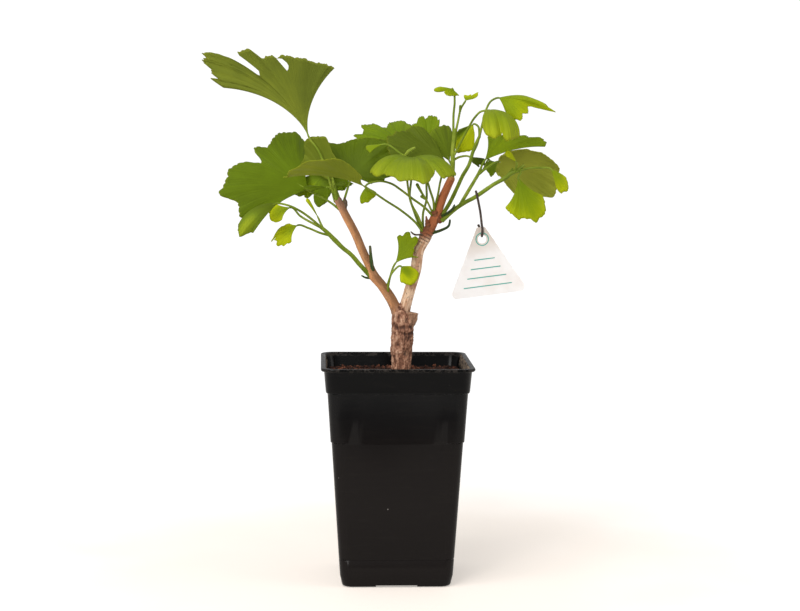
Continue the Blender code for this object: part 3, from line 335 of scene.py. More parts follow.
        "clefts": ((29, 0.9, 2),), "cone": -20, "droop": 85, "swell": 1.0, "neck": 0.85,
        "stalk": ((19, -1.6, 257), (15.4, -5.8, 266), (10, -9.4, 276), (8, -11.6, 285), (7, -12, 296)),
        "tone": (0.42, 0.8), "olive": 0.3,
    },
    "leaf_dark_middle": {
        "base": (36.8, 2.2, 304), "aim": (180, 24, -65),
        "rim": (
            (-45.2, 19.3), (-40.7, 25.7), (-38.5, 31.2), (-36, 34.5), (-30.9, 36.7), (-25.9, 38.7),
            (-22, 39.3), (-17.3, 39.6), (-13.4, 42.1), (-10.5, 44.3), (-7.1, 44.5), (-4.2, 46.7),
            (-1.4, 48.5), (1.1, 47.3), (10.5, 44.5), (18.2, 40.8), (34, 36),
        ),
        "cone": 8, "droop": 10, "neck": 0.8,
        "stalk": ((27.8, 1.4, 268.5), (28.6, 0.8, 275), (30, 1, 281), (32, 1, 292), (34, 1, 299)),
        "tone": (0.26, 0.28), "olive": 0.4, "scallop": (1.4, 4.0),
    },
    "leaf_top_middle": {
        "base": (24, 14, 308), "aim": (90, 62, 0),
        "rim": (
            (-22.5, 27.7), (-16.8, 29.2), (-16.1, 31.4), (-15.3, 33.6), (-12.3, 34.7), (-11.2, 36.6),
            (-7.5, 37), (-4, 37.3), (-1.6, 36.7), (0.8, 34.9), (3.3, 35.1), (5.5, 36.5), (8, 36.1),
            (11.4, 35), (14.5, 32.5), (20.6, 31.8), (24.3, 30.8),
        ),
        "cone": 8, "droop": 10,
        "stalk": ((19.4, 0.2, 256.5), (19.4, 1.6, 268), (22, 4, 278), (22, 7, 289), (23, 11, 301)),
        "tone": (0.52, 0.55), "scallop": (1.3, 1.7), "ragged": 1.1,
    },
    "leaf_back_middle": {
        "base": (9, 22, 314), "aim": (150, 30, -30),
        "rim": (
            (-61.5, 33.7), (-57.1, 35.9), (-50.8, 38), (-45, 38.9), (-38.8, 38.4), (-30.4, 36.6),
            (-24.9, 33.1), (-19.7, 31.1), (-15.2, 32.9), (-13.3, 36.5), (-10.8, 39.2), (-4.4, 41.2),
            (0.3, 43.2), (3.6, 43.2), (7.6, 39), (12.2, 38.6), (15.5, 40.2), (18, 42.6), (20.6, 43),
            (22.3, 40.6), (26.3, 40.9), (35, 37.2),
        ),
        "cone": 8, "droop": 15,
        "stalk": ((18, 0.6, 256), (13, 5.5, 269), (10, 9, 280), (11, 13, 291), (11, 18, 303)),
        "tone": (0.5, 0.54), "scallop": (0.8, 2.6), "ragged": 1.0,
    },
    "leaf_behind_shoot": {
        "base": (39, 11, 306), "aim": (120, 66, 0),
        "rim": (
            (-26, 22.4), (-21.5, 27.9), (-18.6, 30), (-15.2, 30.6), (-11.8, 30.3), (-8.5, 30.3),
            (-2.7, 28.9), (7.4, 27.6), (17.3, 26.1), (36.5, 22), (50, 18),
        ),
        "cone": 8, "droop": 10, "neck": 1.0, "stalk": ((41, 4.2, 301.5), (40.5, 8, 303)),
        "tone": (0.38, 0.42), "olive": 0.3, "scallop": (0.6, 2.0),
    },
    "leaf_small_middle": {
        "base": (-10, -5, 318), "aim": (185, -10, -25), "rim": ((-30, 13), (30, 13)), "cone": 25,
        "droop": 10,
        "stalk": (
            (27.2, -0.2, 269.6), (26.6, -3, 277), (24, -4, 285), (21, -5, 294), (15, -7, 303),
            (3, -6.5, 311),
        ),
        "bud": ((5, -6.8, 309.5, 0.8), (8, -8, 313, 1.3), (13, -8.6, 316, 0.9)), "tone": (0.6, 0.72),
    },
    "leaf_crown_cap": {
        "base": (39.9, 3, 358.6), "aim": (200, -20, -70),
        "rim": (
            (-33.2, 8.9), (-26.8, 11.8), (-18.6, 13.6), (-13, 13), (-9, 10.9), (-6, 7.2), (3.1, 6.8),
            (22.5, 6.6), (44, 6), (75.4, 5.4), (106.8, 6.4), (120.6, 7.5),
        ),
        "cone": 5, "droop": 15, "neck": 1.0,
        "stalk": ((41.2, 4.2, 328), (41.3, 4.4, 340), (42, 4, 350), (41.3, 4.4, 356.5)),
        "tone": (0.6, 0.85),
    },
    "leaf_crown_bud": {
        "base": (50, 5, 350), "aim": (0, 50, 75),
        "rim": (
            (-36.9, 5.6), (-29.5, 9.3), (-20.5, 10.4), (-13, 9.9), (-11.5, 8), (-9, 6.2), (-0.6, 6.4),
            (9.2, 4.8), (37.2, 4.3), (58, 4.2), (66.7, 2.8),
        ),
        "cone": 8, "droop": 10, "neck": 1.0,
        "stalk": ((42.6, 3.6, 325.5), (44.6, 4.6, 335), (47, 5, 345)),
        "bud": ((46, 4.8, 342, 0.9), (46.2, 4, 347, 1.0)), "tone": (0.7, 1.0),
    },
    "leaf_folded": {
        "base": (56, 8, 333), "aim": (172, -55, -75),
        "rim": (
            (-43.2, 12.8), (-16, 17.6), (-3.6, 22), (4.1, 24), (13.2, 22.3), (22.7, 20.5), (31.3, 19.3),
            (38.7, 16), (41.6, 11.6), (45.7, 6.5),
        ),
        "cone": 30, "droop": 15, "neck": 0.9,
        "stalk": ((55, -5, 312.4), (58, -2.5, 318), (60, 2, 327), (59, 6, 332)), "tone": (0.9, 1.25),
        # This patch is painted shade: it darkens the left half of the blade, which is folded away from the
        # light
        "patches": ((-30, 0.7, 18, 0.9, -0.9),),
    },
    "leaf_top_right": {
        "base": (73, -8, 352), "aim": (-12, 4, 30),
        "rim": (
            (-74.3, 11.2), (-69.3, 17.7), (-63.8, 21.2), (-58.4, 22.8), (-53.2, 24.9), (-43.7, 23.8),
            (-36.7, 22.9), (-31.5, 24.5), (-21.5, 24.4), (-11, 24), (-8.4, 27), (-7.2, 29.6),
            (-6.4, 31.5), (-5.8, 34), (-5.2, 41), (-4.4, 42.8), (-1, 40), (4.8, 37.6), (16.4, 34.4),
            (37.1, 31),
        ),
        "cone": 28, "droop": 46, "neck": 0.75,
        "stalk": ((59.4, -6, 323.6), (62, -6, 335), (64, -6, 343), (68, -7, 350)), "tone": (0.62, 0.88),
    },
    "leaf_umbrella_right": {
        "base": (66, -12, 343), "aim": (-72, 5, 0),
        "rim": (
            (-87.1, 4.6), (-72.3, 9.9), (-51.5, 21.6), (-43.2, 31.2), (-36.9, 37), (-32.3, 39.6),
            (-27.5, 42.9), (-21.1, 43.9), (-16, 41.7), (-10.6, 39.6), (-6.5, 43.1), (-3.5, 46.8),
            (1.5, 47.4), (9.5, 44.9), (15.8, 43.1), (27.4, 40.1), (40, 36.5), (53.9, 31.7), (62, 27),
        ),
        "clefts": ((-8, 0.92, 1.4),), "cone": 20, "droop": ((-62, 72), (0, 92), (66, 78)), "neck": 0.9,
        "stalk": ((41, 4, 308.5), (47, 0, 321), (52, -4, 331), (56, -8, 338), (60, -10.5, 342)),
        "tone": (0.55, 0.9), "olive": 0.2, "scallop": (0.5, 5.0),
    },
    "leaf_dark_right": {
        "base": (65, 8, 307), "aim": (25, 28, 50),
        "rim": (
            (-17.3, 49.3), (-13.5, 51.7), (-10.4, 51.1), (-7.5, 49), (-5.4, 44.7), (-3.1, 41.7),
            (0.1, 41.1), (2.9, 39.3), (4.6, 36.7), (8.5, 33.7), (18.7, 28.5), (32.9, 24.7),
            (45.8, 22.5),
        ),
        "cone": 5, "droop": 10, "neck": 0.72, "stalk": ((61.4, 5.8, 299.6), (63, 7, 304)),
        "tone": (0.62, 0.6), "scallop": (1.0, 2.6), "ragged": 1.0,
    },
    "leaf_arched_right": {
        "base": (74, -2, 306), "aim": (5, 15, -50),
        "rim": (
            (-87.8, 7.4), (-63.3, 14.3), (-50.3, 18.7), (-33.9, 23.8), (-21.1, 29.4), (-8.1, 35.2),
            (1.6, 39.9), (10.2, 44.6), (16.3, 46.8), (21.5, 46.3), (25.6, 45.7), (31.3, 47.1),
            (34.7, 49.7), (38.9, 50.7), (43.2, 52.2), (47.3, 50.9), (49.5, 47.4), (53, 43.5),
            (61.7, 38.3), (76.8, 29.3), (81.8, 23), (91.1, 14.9), (115.9, 9.5), (130, 5.4),
        ),
        "cone": 8, "droop": 45, "neck": 1.0, "stalk": ((59, 4.4, 295.4), (66, 1, 301.5)),
        "tone": (0.85, 0.86), "olive": 0.8,
    },
    "leaf_hanging_right": {
        "base": (86, -25, 295), "aim": (-15, -60, 65),
        "rim": (
            (-52.9, 23), (-50, 24.9), (-44.4, 25.3), (-40.3, 26.7), (-33.5, 28.5), (-27.6, 30.2),
            (-21.8, 29.7), (-17.6, 30.4), (-13.4, 30.7), (-9.9, 32.1), (-8.4, 34.2), (-4.9, 35.1),
            (-2.2, 33.5), (1.1, 33.2), (5.6, 33.4), (11.4, 31.7), (17.9, 28.8), (24.2, 25.4),
            (28.8, 21.8),
        ),
        "cone": 15, "droop": 15, "stalk": ((86.5, -18.2, 299.6), (88, -23, 298.5)),
        "tone": (0.52, 0.92), "ragged": 0.9,
    },
    "leaf_curl_right": {
        "base": (85, -22, 305.7), "aim": (180, 50, -60),
        "rim": ((-18.3, 7.8), (-9.1, 10.2), (6.7, 11), (19.7, 9)), "cone": 30, "droop": 10, "neck": 1.0,
        "stalk": ((84, -18, 298.6), (85, -20.5, 302)), "tone": (0.8, 1.0),
    },
    "leaf_tip_right": {
        "base": (110, -20, 301), "aim": (-10, -45, 60),
        "rim": (
            (-27.7, 13.5), (-25, 16.4), (-22.2, 18.6), (-13.8, 18.7), (-6, 20.1), (4, 19), (16.6, 15.9),
            (32.1, 12.3),
        ),
        "cone": 30, "droop": 25, "neck": 0.9,
        "stalk": ((87.4, -18.2, 299.7), (94, -20.5, 301.5), (102, -20.5, 302)), "tone": (0.65, 1.0),
    },
    "leaf_small_back": {
        "base": (54, 8, 309), "aim": (32, -15, 60),
        "rim": (
            (-62.7, 3.9), (-41.8, 7.4), (-35.7, 9.8), (-17.7, 10.6), (-14.6, 12.5), (3.6, 15.3),
            (15.1, 15.3),
        ),
        "cone": 10, "droop": 10, "neck": 1.0, "stalk": ((41, 4, 306.4), (46, 6.6, 309)),
        "tone": (0.2, 0.2),
    },
    "leaf_small_inner": {
        "base": (68.5, 11, 306.9), "aim": (10, -60, 60),
        "rim": (
            (-69.1, 6.7), (-48.7, 8.7), (-36.4, 10.1), (-27.5, 12.4), (-17.4, 11.5), (-2.6, 10.2),
            (19.6, 10.6), (50.7, 11.6),
        ),
        "cone": 10, "droop": 10, "neck": 1.0, "stalk": ((60.6, 5.4, 298), (63.5, 8.6, 299.5)),
        "tone": (0.4, 0.55),
    },
}

# The label about its hole, and the wire that it hangs from
LABEL_HOLE_AT = (61.6, -13.0, 250.0)
LABEL_WIDTH = 58.0
LABEL_BELOW_HOLE = 41.0
LABEL_ABOVE_HOLE = 8.8
LABEL_CORNER = 3.6
LABEL_TOP_HALF_WIDTH = 2.9
LABEL_TOP_CORNER = 1.6
LABEL_THICKNESS = 0.8
LABEL_HOLE_RADIUS = 3.1
LABEL_TILT = 7.5
LABEL_LINES = (-14.5, -21.0, -27.5, -34.0)
WIRE_RADIUS = 0.88
WIRE_SEAT = 2.12
WIRE_FRONT = 1.48
WIRE_HOOK = (
    (61, -13.6, 262), (60, -13.0, 270), (58.6, -13.0, 277), (57.6, -12.9, 281.5), (57.0, -11.2, 284.1),
    (57.2, -8.6, 284.2), (58.0, -7.0, 281.6), (58.6, -7.6, 279),
)

# The camera that took the picture
CAMERA_AT = (-54.9, -1355, 324.3)
CAMERA_YAW = -0.0426
CAMERA_PITCH = 0.0911
CAMERA_ROLL = 0.006
CAMERA_LENS = 83.63


def display(red, green, blue):
    """A colour as it looks on a display, 0 to 255, in the linear values that Blender takes."""
    return tuple(
        value / 255 / 12.92 if value < 10.3 else ((value / 255 + 0.055) / 1.055) ** 2.4
        for value in (red, green, blue)
    )


def colour_property(name, description, red, green, blue):
    return bpy.props.FloatVectorProperty(
        name=name,
        description=description,
        default=display(red, green, blue),
        subtype="COLOR",
        size=3,
        min=0,
        max=1,
    )


def length_property(name, description, default):
    return bpy.props.FloatProperty(name=name, description=description, default=default, unit="LENGTH")


class PotLook(bpy.types.PropertyGroup):
    plastic: colour_property("Plastic", "Colour of the moulded plastic", 21, 17, 16)
    roughness: bpy.props.FloatProperty(
        name="Roughness", description="How dull the plastic is", default=0.2, min=0, max=1, subtype="FACTOR"
    )
    dust: colour_property("Dust", "Colour of the dust and lime on the lip", 170, 150, 130)


class SoilLook(bpy.types.PropertyGroup):
    earth: colour_property("Earth", "Colour of the compost", 46, 27, 21)
    crumb: colour_property("Crumbs", "Colour of the lighter crumbs on top", 138, 84, 62)
    crumbs: bpy.props.IntProperty(
        name="Crumbs", description="How many crumbs lie on the soil", default=1500, min=0, max=6000
    )


class WoodLook(bpy.types.PropertyGroup):
    branch: colour_property("Branch", "Colour of the smooth young bark", 190, 134, 90)
    trunk: colour_property("Trunk", "Colour of the old bark", 178, 130, 104)
    crack: colour_property("Cracks", "Colour down in the cracks", 66, 42, 33)
    crack_depth: length_property("Crack depth", "How deep the trunk's cracks are", 0.0008)
    detail: length_property("Detail", "Size of the bark's smallest faces", 0.00045)


class LeafLook(bpy.types.PropertyGroup):
    deep: colour_property("Deep green", "The darkest leaves", 58, 74, 11)
    fresh: colour_property("Fresh green", "Most leaves", 104, 127, 18)
    yellow: colour_property("Yellow green", "The youngest leaves", 176, 186, 16)
    olive: colour_property("Underside", "The greyest undersides", 104, 112, 40)
    shoot: colour_property("Shoots", "This year's shoots and the leaf stalks", 122, 142, 36)
    thickness: length_property("Thickness", "Thickness of a blade", 0.00045)
    pleat: length_property("Pleats", "Depth of the fine pleats along a blade's veins", 0.00007)
    wave: length_property("Waves", "Height of the waves at a blade's rim", 0.0011)


class LabelLook(bpy.types.PropertyGroup):
    card: colour_property("Card", "Colour of the coated card", 250, 247, 246)
    ink: colour_property("Ink", "Colour of the ruled lines", 40, 165, 150)
    wire: colour_property("Wire", "Colour of the wire's coating", 52, 36, 30)


class StageLook(bpy.types.PropertyGroup):
    floor: colour_property("Floor", "Colour of the floor near the pot", 226, 217, 209)
    light: bpy.props.FloatProperty(
        name="Light", description="Strength of the soft lights", default=1.0, min=0, max=10
    )


class Value:
    """One socket of a finish, so that its maths is written as an expression."""

    def __init__(self, finish, socket):
        self.finish = finish
        self.socket = socket

    def maths(self, operation, *values):
        return self.finish.node("ShaderNodeMath", {"operation": operation}, values)

    def __add__(self, other):
        return self.maths("ADD", self, other)

    def __sub__(self, other):
        return self.maths("SUBTRACT", self, other)

    def __rsub__(self, other):
        return self.maths("SUBTRACT", other, self)

    def __mul__(self, other):
        return self.maths("MULTIPLY", self, other)

    def __pow__(self, other):
        return self.maths("POWER", self, other)

    def __abs__(self):
        return self.maths("ABSOLUTE", self)

    __radd__ = __add__
    __rmul__ = __mul__


class Finish:
    """A material, with its nodes written one expression at a time."""

    def __init__(self, name, **uniform):
        self.material = bpy.data.materials.new(name)
        self.material.use_nodes = True
        self.shader = self.material.node_tree.nodes["Principled BSDF"]
        self.fill(self.shader, {key.replace("_", " "): value for key, value in uniform.items()})

    def fill(self, node, values):
        """Sets a node's sockets, by name or in their order, to values or links."""
        named = values.items() if isinstance(values, dict) else enumerate(values)
        for key, value in named:
            if isinstance(key, str):
                socket = next(s for s in node.inputs if s.name == key and s.enabled)
            else:
                socket = node.inputs[key]
            if isinstance(value, Value):
                self.material.node_tree.links.new(value.socket, socket)
            elif socket.type == "RGBA":
                socket.default_value = (*value[:3], 1)
            else:
                socket.default_value = value

    def node(self, kind, settings=None, values=(), output=None):
        """Any node, as the value of one of its outputs. A ramp's stops are one of its settings."""
        node = self.material.node_tree.nodes.new(kind)
        for key, setting in (settings or {}).items():
            if key == "stops":
                stops = node.color_ramp.elements
                while len(stops) < len(setting):
                    stops.new(1.0)
                for stop, (place, colour) in zip(stops, setting):
                    stop.position = place
                    stop.color = (*colour[:3], 1)
            else:
                setattr(node, key, setting)
        self.fill(node, values)
        shown = [s for s in node.outputs if s.enabled and output in (None, s.name)]
        return Value(self, shown[0])

    def place(self):
        return self.node("ShaderNodeTexCoord", output="Object")

    def attribute(self, name, output="Fac"):
        return self.node("ShaderNodeAttribute", {"attribute_name": name}, output=output)

    def parts(self, vector):
        """The three numbers of a vector."""
        node = self.material.node_tree.nodes.new("ShaderNodeSeparateXYZ")
        self.fill(node, (vector,))
        return [Value(self, socket) for socket in node.outputs]

    def vector(self, x, y, z):
        return self.node("ShaderNodeCombineXYZ", values=(x, y, z))

    def noise(self, vector, scale, detail=2.0, roughness=0.5):
        return self.node(
            "ShaderNodeTexNoise",
            values={"Vector": vector, "Scale": scale, "Detail": detail, "Roughness": roughness},
        )

    def cells(self, vector, scale):
        """The distance from the nearest of the points scattered about."""
        return self.node(
            "ShaderNodeTexVoronoi", values={"Vector": vector, "Scale": scale}, output="Distance"
        )

    def between(self, value, low, high, start=0.0, end=1.0):
        """Start below low and end above high, with a smooth change from one to the other."""
        return self.node(
            "ShaderNodeMapRange", {"interpolation_type": "SMOOTHSTEP"}, (value, low, high, start, end)
        )

    def mix(self, first, second, share):
        """Two colours mixed by a share."""
        return self.node(
            "ShaderNodeMix", {"data_type": "RGBA"}, {"Factor": share, "A": first, "B": second}
        )

    def ramp(self, value, *stops):
        return self.node("ShaderNodeValToRGB", {"stops": stops}, {"Fac": value})

    def bump(self, height, strength, distance):
        """Relief of a depth in millimetres, sent to the shader's normal."""
        relief = self.node(
            "ShaderNodeBump",
            values={"Height": height, "Strength": strength, "Distance": distance * MM},
            output="Normal",
        )
        self.fill(self.shader, {"Normal": relief})


def steps(low, high, value):
    """A smooth step from 0 to 1, on arrays or numbers."""
    t = np.clip((value - low) / (high - low), 0, 1)
    return t * t * (3 - 2 * t)


def hump(away, width):
    """A bell of height 1, by how far a place is from its middle."""
    return math.exp(-((away / width) ** 2))


def ripple(along, length, seed):
    """A wandering wave of about the given wavelength, between -1 and 1, always the same for a seed."""
    turns = 2 * math.pi * np.asarray(along, float) / length
    return (
        np.sin(turns + 1.7 * seed)
        + 0.6 * np.sin(1.618 * turns + 2.9 * seed + 1)
        + 0.4 * np.sin(2.73 * turns + 4.3 * seed + 2)
    ) / 2


def smooth(places, values, at):
    """Values at the given places of a smooth curve through (places, values)."""
    places = np.asarray(places, float)
    values = np.asarray(values, float)
    slopes = np.gradient(values, places)
    at = np.clip(at, places[0], places[-1])
    left = np.clip(np.searchsorted(places, at, side="right") - 1, 0, len(places) - 2)
    width = places[left + 1] - places[left]
    t = (at - places[left]) / width
    return (
        (2 * t**3 - 3 * t**2 + 1) * values[left]
        + (t**3 - 2 * t**2 + t) * width * slopes[left]
        + (3 * t**2 - 2 * t**3) * values[left + 1]
        + (t**3 - t**2) * width * slopes[left + 1]
    )


def at_angle(setting, angle):
    """A leaf's setting at an angle: one number, or (angle, value) pairs to pass through."""
    if isinstance(setting, (int, float)):
        return np.full(np.shape(angle), float(setting))
    places, values = zip(*setting)
    return smooth(places, values, angle)


def smooth_path(points, spacing, rounded=False):
    """(places, radii) along a smooth curve through (x, y, z, radius) points."""
    points = np.array(points, float)
    lengths = np.linalg.norm(np.diff(points[:, :3], axis=0), axis=1)
    along = np.concatenate([[0.0], np.cumsum(lengths)])
    end = along[-1]
    at = np.linspace(0, end, max(2, math.ceil(end / spacing) + 1))
    tip = points[-1, 3]
    if rounded:
        at = np.concatenate([at[at < end - tip], end - tip * np.array([1, 0.6, 0.3, 0.12, 0.03])])
    if len(points) == 2:
        places = np.stack([np.interp(at, along, points[:, axis]) for axis in range(3)], axis=1)
    else:
        places = np.stack([smooth(along, points[:, axis], at) for axis in range(3)], axis=1)
    radii = np.interp(at, along, points[:, 3])
    if rounded:
        radii *= np.sqrt(1 - np.clip(1 - (end - at) / tip, 0, 1) ** 2)
    return places, radii


def deselect():
    if bpy.context.object and bpy.context.object.mode != "OBJECT":
        bpy.ops.object.mode_set(mode="OBJECT")
    bpy.ops.object.select_all(action="DESELECT")


def pick(obj):
    """Makes an object the only one selected, and the active one."""
    deselect()
    obj.select_set(True)
    bpy.context.view_layer.objects.active = obj


def edit(obj, *steps_taken):
    """Runs edit-mode operators on the whole of a mesh, each given as (operator, settings)."""
    pick(obj)
    bpy.ops.object.mode_set(mode="EDIT")
    bpy.ops.mesh.select_all(action="SELECT")
    for operator, settings in steps_taken:
        operator(**settings)
    bpy.ops.object.mode_set(mode="OBJECT")


def weld(obj):
    """Merges doubled vertices and turns every face outward."""
    edit(
        obj,
        (bpy.ops.mesh.remove_doubles, {"threshold": 1e-6}),
        (bpy.ops.mesh.normals_make_consistent, {"inside": False}),
    )


def modify(obj, kind, **settings):
    """Adds a modifier and applies it."""
    pick(obj)
    modifier = obj.modifiers.new(kind.lower(), kind)
    for key, value in settings.items():
        setattr(modifier, key, value)
    bpy.ops.object.modifier_apply(modifier=modifier.name)


def join(first, *others):
    deselect()
    for obj in others:
        obj.select_set(True)
    first.select_set(True)
    bpy.context.view_layer.objects.active = first
    bpy.ops.object.join()
    return first


def empty_curve():
    """A curve object with no splines yet."""
    deselect()
    bpy.ops.curve.primitive_nurbs_path_add()
    guide = bpy.context.object
    guide.data.splines.clear()
    return guide


def stem(name, points, spacing=1.2, sides=6, rounded=True):
    """A closed tube through (x, y, z, radius) points, made as a bevelled curve."""
    places, radii = smooth_path(points, spacing, rounded)
    guide = empty_curve()
    guide.name = name
    curve = guide.data
    spline = curve.splines.new("POLY")
    spline.points.add(len(places) - 1)
    for point, at, radius in zip(spline.points, places, radii):
        point.co = (*(at * MM), 1)
        point.radius = radius
    curve.bevel_depth = MM
    curve.bevel_resolution = sides // 2
    curve.use_fill_caps = True
    bpy.ops.object.convert(target="MESH")
    tube = bpy.context.object
    weld(tube)
    return tube


def vertices_of(obj):
    flat = np.empty(len(obj.data.vertices) * 3)
    obj.data.vertices.foreach_get("co", flat)
    return flat.reshape(-1, 3)


def move_vertices(obj, places):
    obj.data.vertices.foreach_set("co", np.asarray(places, float).ravel())
    obj.data.update()


def keep_values(obj, name, kind, values):
    """Stores a number, vector or colour on each vertex, for the finishes to read."""
    layer = obj.data.attributes.new(name, kind, "POINT")
    key = {"FLOAT": "value", "FLOAT_VECTOR": "vector", "FLOAT_COLOR": "color"}[kind]
    layer.data.foreach_set(key, np.asarray(values, np.float32).ravel())


def complete(obj, slot, *nodes, finishes=()):
    """Smooths a piece, gives it its finishes and puts it in place of its CAD solids."""
    if finishes:
        obj.data.materials.clear()
        for finish in finishes:
            obj.data.materials.append(finish)
    obj.data.shade_smooth()
    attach(obj, "root")
    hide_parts(*nodes)


def inside_half_width(height):
    heights, widths = zip(*POT_INSIDE)
    return float(np.interp(height, heights, widths))


def plastic_finish(look):
    finish = Finish("satin_black_plastic", Metallic=0.0, Specular_IOR_Level=0.14)
    place = finish.place()
    x, y, z = finish.parts(place)
    wide = finish.noise(place, 14, 3)
    grain = finish.noise(place, 900, 2)
    scuff = finish.between(finish.noise(place, 160, 4, 0.7), 0.62, 0.72)
    low = finish.between(finish.noise(finish.vector(x * 9, y * 9, z * 70), 6, 4, 0.6), 0.5, 0.8)
    # Painted reflection: the plastic turns darker and greyer from 85 mm up to the ledge, in place of the
    # dark reflection on the upper walls, and is painted near-black from the ledge under the rim upward
    base = finish.mix(look.plastic, display(15, 15, 16), finish.between(z, 0.085, 0.141))
    base = finish.mix(base, display(1, 1, 2), finish.between(z, 0.1415, 0.143))
    base = finish.mix(base, display(30, 27, 25), low * 0.3)
    specks = finish.between(finish.cells(place, 95), 0.05, 0.02) * finish.between(
        finish.noise(place, 30, 1), 0.52, 0.58
    )
    base = finish.mix(base, display(170, 165, 158), specks * 0.6)
    side = finish.between(abs(x), 0.0485, 0.0505)
    high = finish.between(z, 0.1495, 0.154)
    inner = finish.between(abs(x), 0.0516, 0.0513) * finish.between(abs(y), 0.046, 0.043)
    inside = inner * finish.between(z, 0.1485, 0.1495)
    crust = finish.between(finish.noise(place, 420, 5, 0.75), 0.47, 0.56) * side * high * inner
    base = finish.mix(base, look.dust, crust * 0.85)
    lip = finish.between(z, 0.1568, 0.1578) * finish.between(finish.noise(place, 300, 4, 0.7), 0.42, 0.62)
    base = finish.mix(base, display(92, 84, 78), lip * 0.25)
    finish.fill(finish.shader, {"Base Color": base})
    rough = look.roughness + (wide - 0.5) * 0.1 + scuff * 0.06 + crust * 0.5 + lip * 0.3 + inside * 0.5
    finish.fill(finish.shader, {"Roughness": rough})
    finish.bump(grain * 0.25 + crust * 2 + scuff * 0.2 + wide * 5, 0.25, 0.12)
    return finish.material


def make_pot(look):
    """The pot's skin, extruded from the foot up the outside, over the lip and down the inside."""
    deselect()
    height, half = POT_OUTSIDE[0]
    bpy.ops.mesh.primitive_plane_add(size=2 * half * MM, location=(0, 0, height * MM))
    pot = bpy.context.object
    pot.name = "pot_moulded"
    bpy.ops.object.transform_apply(location=True, rotation=True, scale=True)
    bpy.ops.object.mode_set(mode="EDIT")
    bpy.ops.mesh.select_all(action="SELECT")
    bpy.ops.mesh.bevel(offset=POT_CORNER[0] * MM, segments=10, affect="VERTICES")
    now = (height, half)
    for height, half in (*POT_OUTSIDE[1:], *reversed(POT_INSIDE[:-1])):
        bpy.ops.mesh.extrude_region_move(
            TRANSFORM_OT_translate={"value": (0, 0, (height - now[0]) * MM)}
        )
        share = half / now[1]
        bpy.ops.transform.resize(value=(share, share, 1), center_override=(0, 0, height * MM))
        now = (height, half)
    for axis in (0, 1):
        for at in (-40, -36, -32, -28, -24, 0, 24, 28, 32, 36, 40):
            bpy.ops.mesh.select_all(action="SELECT")
            plane = [0.0, 0.0, 0.0]
            plane[axis] = at * MM
            normal = [0.0, 0.0, 0.0]
            normal[axis] = 1.0
            bpy.ops.mesh.bisect(plane_co=plane, plane_no=normal)
    bpy.ops.mesh.select_all(action="SELECT")
    bpy.ops.mesh.remove_doubles(threshold=1e-6)
    bpy.ops.mesh.normals_make_consistent(inside=False)
    bpy.ops.object.mode_set(mode="OBJECT")
    places = vertices_of(pot) / MM
    outer = np.maximum(np.abs(places[:, 0]), np.abs(places[:, 1]))
    across = np.minimum(np.abs(places[:, 0]), np.abs(places[:, 1]))
    band = (places[:, 2] > 105.8) & (places[:, 2] < 141) & (outer > 47)
    flush = band * (1 - steps(27, 37, across)) * 0.75 * steps(141, 118, places[:, 2])
    for axis in (0, 1):
        faces = np.abs(places[:, axis]) >= outer - 1e-6
        places[:, axis] -= np.sign(places[:, axis]) * flush * faces
    move_vertices(pot, places * MM)
    reach, half, deep = LIP_HALF_WIDTH, FOOT_CHANNEL[0] / 2, FOOT_CHANNEL[1]
    cutters = []
    for low, high in (
        ((FOOT_PAD, -half), (reach, half)),
        ((-reach, -half), (-FOOT_PAD, half)),
        ((-half, FOOT_PAD), (half, reach)),
        ((-half, -reach), (half, -FOOT_PAD)),
    ):
        deselect()
        bpy.ops.mesh.primitive_cube_add(
            size=1,
            location=((low[0] + high[0]) / 2 * MM, (low[1] + high[1]) / 2 * MM, (deep - 1) / 2 * MM),
            scale=((high[0] - low[0]) * MM, (high[1] - low[1]) * MM, (deep + 1) * MM),
        )
        cutters.append(bpy.context.object)
    for index in range(4):
        angle = math.radians(90 * index)
        deselect()
        bpy.ops.mesh.primitive_cylinder_add(
            vertices=40,
            radius=DRAIN_RADIUS * MM,
            depth=20 * MM,
            location=(DRAIN_AT * MM * math.cos(angle), DRAIN_AT * MM * math.sin(angle), 0),
        )
        cutters.append(bpy.context.object)
    for cutter in cutters:
        modify(pot, "BOOLEAN", operation="DIFFERENCE", solver="EXACT", object=cutter)
        bpy.data.objects.remove(cutter, do_unlink=True)
    complete(pot, "pot", "pot", finishes=[plastic_finish(look)])
    pick(pot)
    bpy.ops.object.shade_smooth_by_angle(angle=math.radians(38))
    return pot


def soil_height(x, y):
    """The lumpy surface of the soil, with its mounds at the left and at the right-hand back."""
    waves = (
        math.sin(0.31 * x + 0.9) * math.cos(0.27 * y)
        + 0.6 * math.sin(0.62 * y - 0.33 * x)
        + 0.5 * math.cos(0.83 * x + 0.47 * y)
        + 2.4 * math.exp(-(((x + 28) / 13) ** 2) - (y / 24) ** 2)
        + 2.2 * math.exp(-(((x - 33) / 10) ** 2) - ((y - 22) / 14) ** 2)
    )
    return SOIL_TOP + SOIL_RELIEF * waves / 2


def earth_finish(look):
    finish = Finish("reddish_compost", Metallic=0.0, Roughness=0.95, Specular_IOR_Level=0.25)
    place = finish.place()
    lump = finish.noise(place, 260, 5, 0.7)
    fibre = finish.noise(place, 900, 3, 0.6)
    pale = finish.attribute("pale")
    base = finish.ramp(
        lump + (fibre - 0.5) * 0.4,
        (0.3, display(16, 11, 10)),
        (0.52, tuple(look.earth)),
        (0.75, display(92, 52, 38)),
    )
    base = finish.mix(base, look.crumb, pale * (0.6 + fibre * 0.5))
    finish.fill(finish.shader, {"Base Color": base})
    finish.bump(lump + fibre * 0.4, 0.8, 0.5)
    return finish.material


